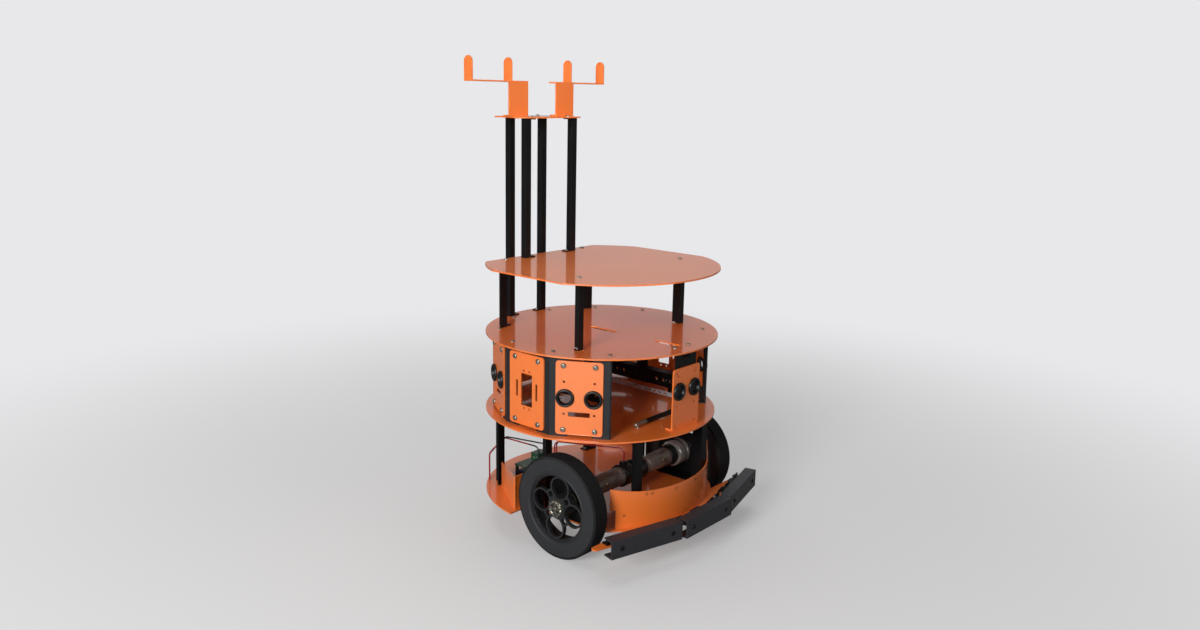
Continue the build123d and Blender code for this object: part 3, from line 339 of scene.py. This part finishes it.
# Tyres. Each row of tread blocks runs from one x to another, shifted by a share of a block.
TYRE_WALL_R, GROOVE_R, LUG_R, LUG_GROOVE_R, LUG_X = 64.6, 66.9, 67.3, 65.5, 11.3
TREAD_ROWS = ((-10.6, -6.2, 0.0), (-5.2, -0.5, 0.5), (0.5, 5.2, 0.0), (6.2, 10.6, 0.5))
TREAD_COUNT, TREAD_SHARE, TREAD_STEPS, TREAD_SLOPE = 132, 0.56, (0.0, 0.06, 0.5, 0.56), 0.2


def tread_radius(x, turn):
    """Radius of the tyre at a distance from its middle plane, the turn counted in tread blocks."""
    if abs(x) >= WHEEL_W / 2:
        return TYRE_WALL_R
    if abs(x) >= LUG_X:
        return LUG_R if turn % 1.0 < TREAD_SHARE else LUG_GROOVE_R
    for low, high, shift in TREAD_ROWS:
        if low <= x <= high and (turn + shift) % 1.0 < TREAD_SHARE:
            return WHEEL_R
    return GROOVE_R


def tyre(side_name, side):
    """Tyre with four rows of tread blocks, lugs on its shoulders and a rounded bead on each side."""
    bm = bmesh.new()
    centre = Vector((side * (WHEEL_OUT - WHEEL_W / 2), AXLE_Y, WHEEL_R))
    half = WHEEL_W / 2
    marks = [-half, -LUG_X]
    for low, high, _ in TREAD_ROWS:
        marks += [low - TREAD_SLOPE, low, high, high + TREAD_SLOPE]
    marks += [LUG_X, half]
    rings = []
    for k in range(TREAD_COUNT):
        for t in TREAD_STEPS:
            a = 2 * math.pi * (k + t) / TREAD_COUNT
            radii = [tread_radius(x, t + 0.02) for x in marks]
            rings.append([bm.verts.new(centre + Vector((x, -r * math.cos(a), r * math.sin(a))))
                          for x, r in zip(marks, radii)])
    for a, b in zip(rings, rings[1:] + rings[:1]):
        for i in range(len(marks) - 1):
            bm.faces.new((a[i], a[i + 1], b[i + 1], b[i])).material_index = 1
    for s in (-1, 1):
        wall = [(TYRE_WALL_R, 0.0), (49.2, 0.0), (48.4, 0.5), (47.4, 0.5), (46.7, 0.0), (45.8, 0.3),
                (45.5, 1.5), (50.0, 1.6)]
        lathe(bm, [(r, s * (half - depth)) for r, depth in wall], axis_matrix(centre, (1, 0, 0)), 96)
    ob = mesh_object(f"tread_{side_name}", bm, rubber, f"wheel_{side_name}", 30.0)
    ob.data.materials.append(tread_rubber)
    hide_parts(f"tyre_{side_name}")


def hub_face(side_name, side):
    """Ring of deep knurls like a laid rope, with clamp screws and the shaft's end in its middle."""
    bm = bmesh.new()
    place = axis_matrix((side * (WHEEL_OUT + 1.0), AXLE_Y, WHEEL_R), (side, 0, 0))
    steps, knurls = 144, 12
    levels = ((-1.0, 10.6, 0.0), (0.2, 10.9, 0.35), (1.1, 10.2, 0.7), (1.7, 9.0, 1.05),
              (1.5, 7.6, 1.4), (0.6, 6.6, 1.75))
    rings = []
    for height, radius, twist in levels:
        ring = []
        for i in range(steps):
            a = 2 * math.pi * i / steps
            swell = math.cos(a * knurls + twist * 2.4)
            ring.append(ring_point(bm, place, radius + 0.45 * swell, a, height + 0.3 * swell))
        rings.append(ring)
    for low, high in zip(rings, rings[1:]):
        bridge(bm, low, high)
    lathe(bm, [(7.2, 0.4), (3.6, 0.4), (3.4, -0.7), (2.9, -0.7), (2.7, 1.2), (2.2, 1.5), (0, 1.5)],
          place)
    mesh_object(f"hub_face_{side_name}", bm, knurl, f"wheel_{side_name}", 35.0)
    spots = []
    for k in range(4):
        a = math.radians(45 + 90 * k + 8)
        spots.append((place @ Vector((5.2 * math.cos(a), 5.2 * math.sin(a), 0.4)), (side, 0, 0)))
    screws(f"hub_screws_{side_name}", spots, 1.5, 1.0, dark_screw, f"wheel_{side_name}")


# Motors: X is a distance from the plates' centre. Lengths run from the wheel inwards.
GEAR_X, GEAR_LEN, STAGE_LEN, CAP_X, CAP_LEN = 118.0, 24.0, 12.0, 23.0, 20.0
CAN_R = 12.9


def motor_skin(side_name, side):
    """Turned shapes of the gearbox, its first stage, the can and the encoder cap."""
    place = axis_matrix((side * GEAR_X, AXLE_Y, GEAR_Z), (-side, 0, 0))
    can_start, can_end = GEAR_LEN + STAGE_LEN, GEAR_X - CAP_X
    cap_end = can_end + CAP_LEN
    bm = bmesh.new()
    lathe(bm, [(0, 0), (17.7, 0), (18.4, 0.7), (18.4, 4.6), (17.9, 5.2), (17.9, 6.2), (18.4, 6.8),
               (18.4, 15.2), (17.2, 15.6), (17.2, 16.6), (18.4, 17.0), (18.4, 22.6), (17.4, 24.0),
               (14.6, 24.0), (14.6, 23.0), (0, 23.0)], place, 64)
    lathe(bm, [(6.0, 0.0), (6.0, -2.9), (3.1, -3.0)],
          axis_matrix((side * GEAR_X, AXLE_Y, WHEEL_R), (-side, 0, 0)), 32)
    ob = mesh_object(f"gear_case_{side_name}", bm, gear_metal, "chassis")
    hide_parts(f"gearbox_{side_name}")

    bm = bmesh.new()
    lathe(bm, [(15.0, GEAR_LEN), (15.0, can_start), (14.4, can_start + 0.6), (CAN_R, can_start + 0.6)],
          place, 56)
    mesh_object(f"stage_{side_name}", bm, plastic, "chassis")

    bm = bmesh.new()
    lathe(bm, [(CAN_R, can_start), (CAN_R, can_end - 9.0), (12.5, can_end - 8.6),
               (12.5, can_end - 7.6), (CAN_R, can_end - 7.2), (CAN_R, can_end)], place, 56)
    ob = mesh_object(f"can_{side_name}", bm, can_metal, "chassis")
    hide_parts(f"motor_{side_name}")

    bm = bmesh.new()
    lathe(bm, [(CAN_R, can_end), (15.0, can_end), (15.5, can_end + 0.5), (15.5, cap_end - 1.4),
               (14.9, cap_end - 0.4), (13.4, cap_end), (4.0, cap_end), (4.0, cap_end - 0.8),
               (0, cap_end - 0.8)], place, 56)
    block(bm, axis_matrix((side * (CAP_X - 9.0), AXLE_Y, GEAR_Z + 13.0), UP), (9.0, 8.0, 6.0))
    mesh_object(f"encoder_cap_{side_name}", bm, plastic, "chassis")

    bm = bmesh.new()
    spot = axis_matrix((side * 62.0, AXLE_Y - 12.4, GEAR_Z + 2.6), (0, -1, 0.22))
    lathe(bm, [(3.2, -1.0), (3.2, 1.2), (2.6, 1.6), (1.2, 1.6), (1.1, 0.6), (0, 0.6)], spot, 24)
    mesh_object(f"can_boss_{side_name}", bm, brass, "chassis")


# Sheet pieces
FENDER_R, FENDER_END, FENDER_STEP = 154.0, 44.0, 41.2
FENDER_TOP_Z, FENDER_STEP_Z = BASE_Z + 47.5, BASE_Z + 25.0
HORN_X, HORN_ROUND = 87.2, 17.3
LEFT_RISE, LEFT_RISE_X, LEFT_RISE_LEN = 6.0, -55.0, 50.0
FENDER_TABS, TAB_SIZE, TAB_INSET = (-14.0, 0.0, 14.0), (12.0, 12.0, FENDER_T), 6.2


def fender_edge(x):
    """Height of the fender's upper edge: a rise at its left end and a horn at its right end."""
    if x > HORN_X:
        return FENDER_TOP_Z + HORN_ROUND - math.sqrt(max(HORN_ROUND ** 2 - (x - HORN_X) ** 2, 0.0))
    return FENDER_TOP_Z + LEFT_RISE * (max(LEFT_RISE_X - x, 0.0) / LEFT_RISE_LEN) ** 2


def fender_sheet():
    """Rolled sheet with stepped ends and three tabs that are screwed to the base plate."""
    bm = bmesh.new()
    angles = ([-FENDER_END, -42.5] + [-FENDER_STEP + 2 * FENDER_STEP * k / 96 for k in range(97)]
              + [42.0, 42.8, 43.4, FENDER_END])
    columns = []
    for angle in angles:
        s, c = math.sin(math.radians(angle)), math.cos(math.radians(angle))
        levels = [FENDER_STEP_Z, fender_edge(FENDER_R * s)]
        if abs(angle) <= FENDER_STEP + 1e-6:
            levels.insert(0, BASE_Z)
        columns.append([[bm.verts.new((r * s, -r * c, z)) for z in levels]
                        for r in (FENDER_R, FENDER_R - FENDER_T)])
    for (outer_a, inner_a), (outer_b, inner_b) in zip(columns, columns[1:]):
        count = min(len(outer_a), len(outer_b))
        for i in range(-count, -1):
            bm.faces.new((outer_a[i], outer_b[i], outer_b[i + 1], outer_a[i + 1]))
            bm.faces.new((inner_b[i], inner_a[i], inner_a[i + 1], inner_b[i + 1]))
        for i in (-count, -1):
            bm.faces.new((outer_a[i], outer_b[i], inner_b[i], inner_a[i]))
    # The sheet's two ends, then the two steps under them
    for index in (0, -1, 2, -5):
        outer, inner = columns[index]
        bm.faces.new((outer[0], outer[1], inner[1], inner[0]))
    reach = FENDER_R - FENDER_T - TAB_INSET
    for angle in FENDER_TABS:
        t = math.radians(angle)
        place = Matrix.Translation((reach * math.sin(t), -reach * math.cos(t), BASE_Z))
        block(bm, place @ Matrix.Rotation(t, 4, "Z"), TAB_SIZE, 0.3)
    fender = mesh_object("fender_sheet", bm, orange, "chassis", 30.0)
    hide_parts("front_fender")


def fender_holes():
    """Pop rivets and open holes of the fender: flat dark discs with a rim. The rivets' discs are their
    own dark heads; in the open holes the dark disc is painted shade of the space behind the sheet.
    """
    bm = bmesh.new()
    for angle, z in ((-25.7, 86.5), (-22.6, 86.0), (-8.0, 84.5), (25.7, 86.5), (22.6, 86.0),
                     (8.0, 84.5), (-37.0, 60.0), (37.0, 60.0)):
        t = math.radians(angle)
        out = Vector((math.sin(t), -math.cos(t), 0))
        # Dark discs: the rivets' own heads, and painted shade in the open holes
        lathe(bm, [(1.9, -0.2), (1.9, 0.12), (1.4, 0.12), (1.3, -0.1), (0, -0.1)],
              axis_matrix(out * FENDER_R + Vector((0, 0, z)), out), 20)
    mesh_object("fender_holes", bm, dark_screw, "chassis")


# Strips of the bay. The bay is open at the front, between the strips at two of their angles.
HALF_STEP, OPEN_FROM, OPEN_TO = 15, 225, 315
STRIP_LEG, OPEN_LEG, STRIP_EAR, EAR_RISE = 9.3, 2.2, 22.5, 20.0
STRIP_TAB, OPEN_TAB, TAB_GAP = 12.0, 2.0, 0.05


def bay_strips(side_name):
    """Folded strips behind the panel edges, with ears for the screws and cut short at an open side."""
    bm = bmesh.new()
    half_turn = math.radians(HALF_STEP)
    lean, run, slope = math.sin(half_turn), math.cos(half_turn), math.tan(half_turn)
    outer, inner = APOTHEM / run, (APOTHEM - STRIP_T) / run
    under_roof = ROOF_Z - PLATE_T
    for angle in STRIP_ANGLES[side_name]:
        held = [(angle + step) % 360 in PANEL_ANGLES for step in (HALF_STEP, -HALF_STEP)]
        legs = [STRIP_LEG if h or angle not in (OPEN_FROM, OPEN_TO) else OPEN_LEG for h in held]
        ears = [STRIP_EAR if h else leg for h, leg in zip(held, legs)]
        for (after, before), low, high in ((ears, FLOOR_Z, FLOOR_Z + EAR_RISE),
                                           (legs, FLOOR_Z + EAR_RISE, under_roof - EAR_RISE),
                                           (ears, under_roof - EAR_RISE, under_roof)):
            fold = [(outer - after * lean, after * run), (outer, 0),
                    (outer - before * lean, -before * run), (inner - before * lean, -before * run),
                    (inner, 0), (inner - after * lean, after * run)]
            prism(bm, turned(angle, fold), low, high)
        for low in (FLOOR_Z, under_roof - STRIP_T):
            ahead = OPEN_TAB if angle == OPEN_FROM else STRIP_TAB / 2
            behind = OPEN_TAB if angle == OPEN_TO else STRIP_TAB / 2
            tab = [(inner - STRIP_TAB, -behind), (inner - behind * slope - TAB_GAP, -behind),
                   (inner, 0), (inner - ahead * slope - TAB_GAP, ahead), (inner - STRIP_TAB, ahead)]
            prism(bm, turned(angle, tab), low, low + STRIP_T)
    strips = mesh_object(f"bay_strips_{side_name}", bm, strip_coat, "chassis", 20.0)
    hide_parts(f"bay_posts_{side_name}")


def deck_angle(side_name, side):
    """Front deck post: an angle with a foot at each end."""
    bm = bmesh.new()
    corner_x, out_x = side * 103.0, side * 112.0
    front_y, foot_y, rear_y = -57.5, -50.0, -44.0
    inside_x, inside_y = corner_x + side * FOOT_T, front_y + FOOT_T
    under_deck = DECK_Z - PLATE_T
    leg = [(corner_x, front_y), (out_x, front_y), (out_x, inside_y), (inside_x, inside_y),
           (inside_x, rear_y), (corner_x, rear_y)]
    foot = [(corner_x, front_y), (out_x, front_y), (out_x, foot_y), (corner_x, foot_y)]
    prism(bm, leg, ROOF_Z + FOOT_T, under_deck - FOOT_T)
    prism(bm, foot, ROOF_Z, ROOF_Z + FOOT_T)
    prism(bm, foot, under_deck - FOOT_T, under_deck)
    post = mesh_object(f"deck_angle_{side_name}", bm, black, "chassis", 20.0)
    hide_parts(f"deck_post_front_{side_name}")


def front_panel_blank():
    """Closes the slot under the front panel's eyes with a blank of the same sheet."""
    bm = bmesh.new()
    drop, size = 21.0, (28.2, 2.02, 6.2)
    place = (0, FRONT_Y + PANEL_T / 2, FRONT_EYE_Z - drop - size[2] / 2)
    block(bm, Matrix.Translation(place), size, 0)
    mesh_object("front_panel_blank", bm, orange, "chassis")


# Small turned pieces
def rod_ferrule():
    """Bright ferrule on the near end of the tie rod, with the screw that holds it."""
    bm = bmesh.new()
    rod_x, screw_x, rod_y = -28.0, -44.0, -103.0
    clip_t, clip_rise = 1.6, 3.2
    rod_z = FLOOR_Z + clip_t + clip_rise
    lathe(bm, [(3.0, 0.0), (3.35, 0.3), (3.25, 3.0), (2.9, 3.4), (2.9, 4.4), (3.1, 4.8), (2.5, 16.0),
               (2.45, 22.3), (1.9, 22.6), (0, 22.6)],
          axis_matrix((rod_x, rod_y, rod_z), (-1, 0, 0)), 28)
    for profile in ([(1.75, 0.0), (1.75, 3.2)], [(3.0, 0.0), (3.0, 0.6), (1.75, 0.7)]):
        lathe(bm, profile, axis_matrix((screw_x, rod_y, FLOOR_Z), UP), 20)
    mesh_object("rod_ferrule", bm, screw_metal, "chassis")


def front_eyes():
    """Place and direction of the two eyes in the front panel."""
    return [facing(-90, -FRONT_Y, along, FRONT_EYE_Z)
            for along in (-FRONT_EYE_SPREAD, FRONT_EYE_SPREAD)]


def bezel_rings():
    """Eye bezels: rounded rubber collars with a stepped, hollow bore."""
    bm = bmesh.new()
    eyes = [facing(angle, APOTHEM + PANEL_T, along, PANEL_MID)
            for angle in EYE_ANGLES for along in (-EYE_SPREAD, EYE_SPREAD)]
    profile = [(9.4, -3.6), (10.8, -3.6), (10.8, -2.0), (9.4, -2.0), (9.4, 0.0), (12.0, 0.0),
               (12.1, 0.9), (11.9, 1.9), (11.4, 2.8), (10.6, 3.3), (9.9, 3.4), (9.2, 3.1), (8.6, 2.4),
               (8.3, 1.4), (8.2, 0.4), (8.0, 0.2), (8.0, -3.4), (8.2, -3.6)]
    for origin, direction in eyes + front_eyes():
        lathe(bm, profile, axis_matrix(origin, direction), closed=True)
    rings = mesh_object("bezel_rings", bm, plastic, "chassis", 50.0)
    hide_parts("eye_bezels")


def sonar_caps():
    """Dark capsules seen through the front panel's bezels."""
    bm = bmesh.new()
    profile = [(7.9, -3.5), (7.9, -1.2), (7.3, -0.6), (6.6, -0.9), (4.4, -0.7), (2.2, -0.6), (0, -0.6)]
    for origin, direction in front_eyes():
        lathe(bm, profile, axis_matrix(origin, direction), 40)
    mesh_object("sonar_caps", bm, plastic, "chassis")


# Screws
PANEL_SCREW_X, PANEL_SCREW_Z = 20.5, 42.0
STRIP_SCREW_R, TAB_SCREW_R = 140.9, 145.3
BEAM_Z, BEAM_FACES = 197.0, (58.4, 61.6)
BUMPER_Z, BUMPER_SCREW_SHARE = 48.0, 0.36
MAST_FRONT, MAST_REAR, MAST_FOOT, FORK_T = (46.2, 102.3), (32.0, 148.3), 9.5, 2.0
BASE_POSTS, BASE_FOOT = ((66.0, -129.5), (100.0, -2.0), (93.0, 97.0)), (-4.5, 8.0)
DECK_FRONT, DECK_REAR, ANGLE_FOOT = (106.0, -52.0), (78.5, 109.0), (108.4, -52.9)
FORK_PLACE, TIE_PLACE = (46.0, 124.0), (14.7, FRONT_Y + 10.4)


def panel_screws():
    """Screws in the corners of the bay's panels."""
    spots = [facing(angle, APOTHEM + PANEL_T, along, PANEL_MID + dz) for angle in PANEL_ANGLES
             for along in (-PANEL_SCREW_X, PANEL_SCREW_X) for dz in (-PANEL_SCREW_Z, PANEL_SCREW_Z)]
    screws("panel_screws", spots, 3.7, 2.2)


def plate_screws():
    """Screws on the plates: in the posts' feet, the sensor forks, the strips' and fender's tabs."""
    mast_front, mast_rear = ((x - MAST_FOOT, y) for x, y in (MAST_FRONT, MAST_REAR))
    mirrored = [(*mast_front, DECK_Z + FOOT_T), (*mast_rear, ROOF_Z + FOOT_T),
                (*mast_front, MAST_Z), (*mast_rear, MAST_Z), (*FORK_PLACE, MAST_Z + FORK_T),
                (*DECK_REAR, ROOF_Z + FOOT_T), (*ANGLE_FOOT, ROOF_Z + FOOT_T)]
    mirrored += [(x + BASE_FOOT[0], y + BASE_FOOT[1], BASE_Z + FOOT_T) for x, y in BASE_POSTS]
    mirrored.append((*TIE_PLACE, ROOF_Z))
    places = [(s * x, y, DECK_Z) for x, y in (DECK_FRONT, DECK_REAR) for s in (-1, 1)]
    places += [(s * x, y, z) for s in (-1, 1) for x, y, z in mirrored]
    for angle in STRIP_ANGLES["right"] + STRIP_ANGLES["left"]:
        places += [(x, y, ROOF_Z) for x, y in turned(angle, [(STRIP_SCREW_R, 0)])]
    for angle in FENDER_TABS:
        places += [(x, y, BASE_Z + FENDER_T) for x, y in turned(angle - 90, [(TAB_SCREW_R, 0)])]
    screws("plate_screws", [(place, UP) for place in places], 2.8, 1.7)


def beam_screws():
    """Screws along the perforated beams and on their hangers, one on each face."""
    inner_x, outer_x = BEAM_FACES
    spots = []
    for s, rows in ((-1, (-50.0, 10.0, 46.0)), (1, (-70.0, -34.0, 14.0, 50.0))):
        for y in rows:
            spots += [((s * inner_x, y, BEAM_Z), (-s, 0, 0)), ((s * outer_x, y, BEAM_Z), (s, 0, 0))]
    screws("beam_screws", spots, 2.9, 1.6, dark_screw)


def bumper_screws(name, x, y, yaw, length):
    """Two screws in the face of a bumper bar."""
    c, s = math.cos(math.radians(yaw)), math.sin(math.radians(yaw))
    reach = BUMPER_SCREW_SHARE * length
    spots = [((x + along * c, y + along * s, BUMPER_Z), (s, -c, 0)) for along in (-reach, reach)]
    screws(f"bumper_screws_{name}", spots, 3.2, 1.3, dark_screw, f"bumper_{name}")


# Floor, backdrop, light and camera, in metres
BACKDROP = rgb(232, 232, 234)


def floor():
    """Pale floor that fades into the backdrop with distance and throws less light than it shows."""
    mat = bpy.data.materials.new("floor")
    mat.use_nodes = True
    tree = mat.node_tree
    bsdf = tree.nodes["Principled BSDF"]
    bsdf.inputs["Roughness"].default_value = 0.9
    bsdf.inputs["Specular IOR Level"].default_value = 0.1
    seen = add_node(tree, "LightPath").outputs["Is Camera Ray"]
    noise = add_node(tree, "TexNoise", Scale=3.0).outputs["Fac"]
    pale = colour_ramp(tree, noise, (0.0, rgb(222, 221, 219)), (1.0, rgb(230, 229, 227)))
    tree.links.new(mix_colours(tree, seen, rgb(150, 150, 149), pale), bsdf.inputs["Base Color"])
    place = add_node(tree, "NewGeometry").outputs["Position"]
    reach = add_node(tree, "VectorMath", place, settings={"operation": "LENGTH"}).outputs["Value"]
    fade = add_node(tree, "MapRange", settings={"interpolation_type": "SMOOTHSTEP"}, Value=reach,
                    From_Min=0.25, From_Max=1.5, To_Min=0.3, To_Max=1.0).outputs["Result"]
    share = add_node(tree, "Math", fade, seen, settings={"operation": "MULTIPLY"}).outputs[0]
    glow = add_node(tree, "Emission", Color=BACKDROP).outputs[0]
    blend = add_node(tree, "MixShader", share, bsdf.outputs[0], glow)
    tree.links.new(blend.outputs[0], tree.nodes["Material Output"].inputs["Surface"])
    bpy.ops.mesh.primitive_plane_add(size=80.0, location=(0, 0, 0))
    ground = bpy.context.object
    ground.name = "ground"
    ground.data.materials.append(mat)


def backdrop():
    """Even backdrop, at full strength where the camera sees it and weaker as a light."""
    world = bpy.data.worlds.new("studio")
    bpy.context.scene.world = world
    world.use_nodes = True
    tree = world.node_tree
    seen = add_node(tree, "LightPath").outputs["Is Camera Ray"]
    strength = add_node(tree, "MapRange", Value=seen, To_Min=0.2, To_Max=1.0)
    tree.nodes["Background"].inputs["Color"].default_value = BACKDROP
    tree.links.new(strength.outputs["Result"], tree.nodes["Background"].inputs["Strength"])


def lamp(name, place, target, size, power, spread=180.0):
    """Rectangular lamp, its power in watts and its spread in degrees."""
    data = bpy.data.lights.new(name, "AREA")
    data.shape = "RECTANGLE"
    data.size, data.size_y = size
    data.energy = power
    data.spread = math.radians(spread)
    ob = bpy.data.objects.new(name, data)
    ob.location = place
    ob.rotation_euler = (Vector(place) - Vector(target)).to_track_quat("Z", "Y").to_euler()
    ob.visible_camera = False
    bpy.context.scene.collection.objects.link(ob)


PHOTO_W, PHOTO_H, SENSOR_W = 1200.0, 630.0, 36.0
FOCAL_PX, CENTRE_PX = 985.1, (602.2, 307.4)
CAMERA_PLACE = (-1.00964, -0.86231, 0.58877)
CAMERA_RIGHT, CAMERA_BACK = (0.65248, -0.75756, 0.01910), (-0.74304, -0.63461, 0.21252)


def photo_camera():
    """Camera fitted to the photograph."""
    data = bpy.data.cameras.new("camera")
    data.sensor_width = SENSOR_W
    data.lens = FOCAL_PX * SENSOR_W / PHOTO_W
    data.shift_x = -(CENTRE_PX[0] - PHOTO_W / 2) / PHOTO_W
    data.shift_y = (CENTRE_PX[1] - PHOTO_H / 2) / PHOTO_W
    right, back = Vector(CAMERA_RIGHT).normalized(), Vector(CAMERA_BACK).normalized()
    up = back.cross(right).normalized()
    right = up.cross(back).normalized()
    camera = bpy.data.objects.new("camera", data)
    camera.matrix_world = columns_matrix(right, up, back, CAMERA_PLACE)
    bpy.context.scene.collection.objects.link(camera)
    bpy.context.scene.camera = camera


paint_nodes()
for side_name, side in SIDES.items():
    tyre(side_name, side)
    hub_face(side_name, side)
    motor_skin(side_name, side)
fender_sheet()
for side_name in SIDES:
    bay_strips(side_name)
for side_name, side in SIDES.items():
    deck_angle(side_name, side)
front_panel_blank()
rod_ferrule()
bezel_rings()
panel_screws()
plate_screws()
fender_holes()
sonar_caps()
beam_screws()
bumper_screws("left", -108.5, -175.0, -14.797, 109.64)
bumper_screws("centre", 0.0, -193.0, 0.0, 101.0)
bumper_screws("right", 108.5, -175.0, 14.797, 109.64)

floor()
backdrop()
lamp("key", (-2.62, -0.62, 1.05), (0, 0, 0.28), (1.0, 0.9), 70.0)
lamp("fill", (0.6, -2.4, 0.9), (0, 0, 0.3), (1.2, 1.0), 4.0)
lamp("top", (0.2, 0.3, 2.4), (0, 0, 0.3), (1.8, 1.8), 15.0)
lamp("high", (-1.0, -2.2, 1.1), (0, 0.1, 0.6), (0.3, 0.3), 0.6, 22.0)
lamp("card", (1.75, 1.5, 0.5), (0, 0, 0.3), (3.0, 1.2), 4.2)
photo_camera()
bpy.context.scene.view_settings.view_transform = "Standard"

bpy.context.view_layer.update()
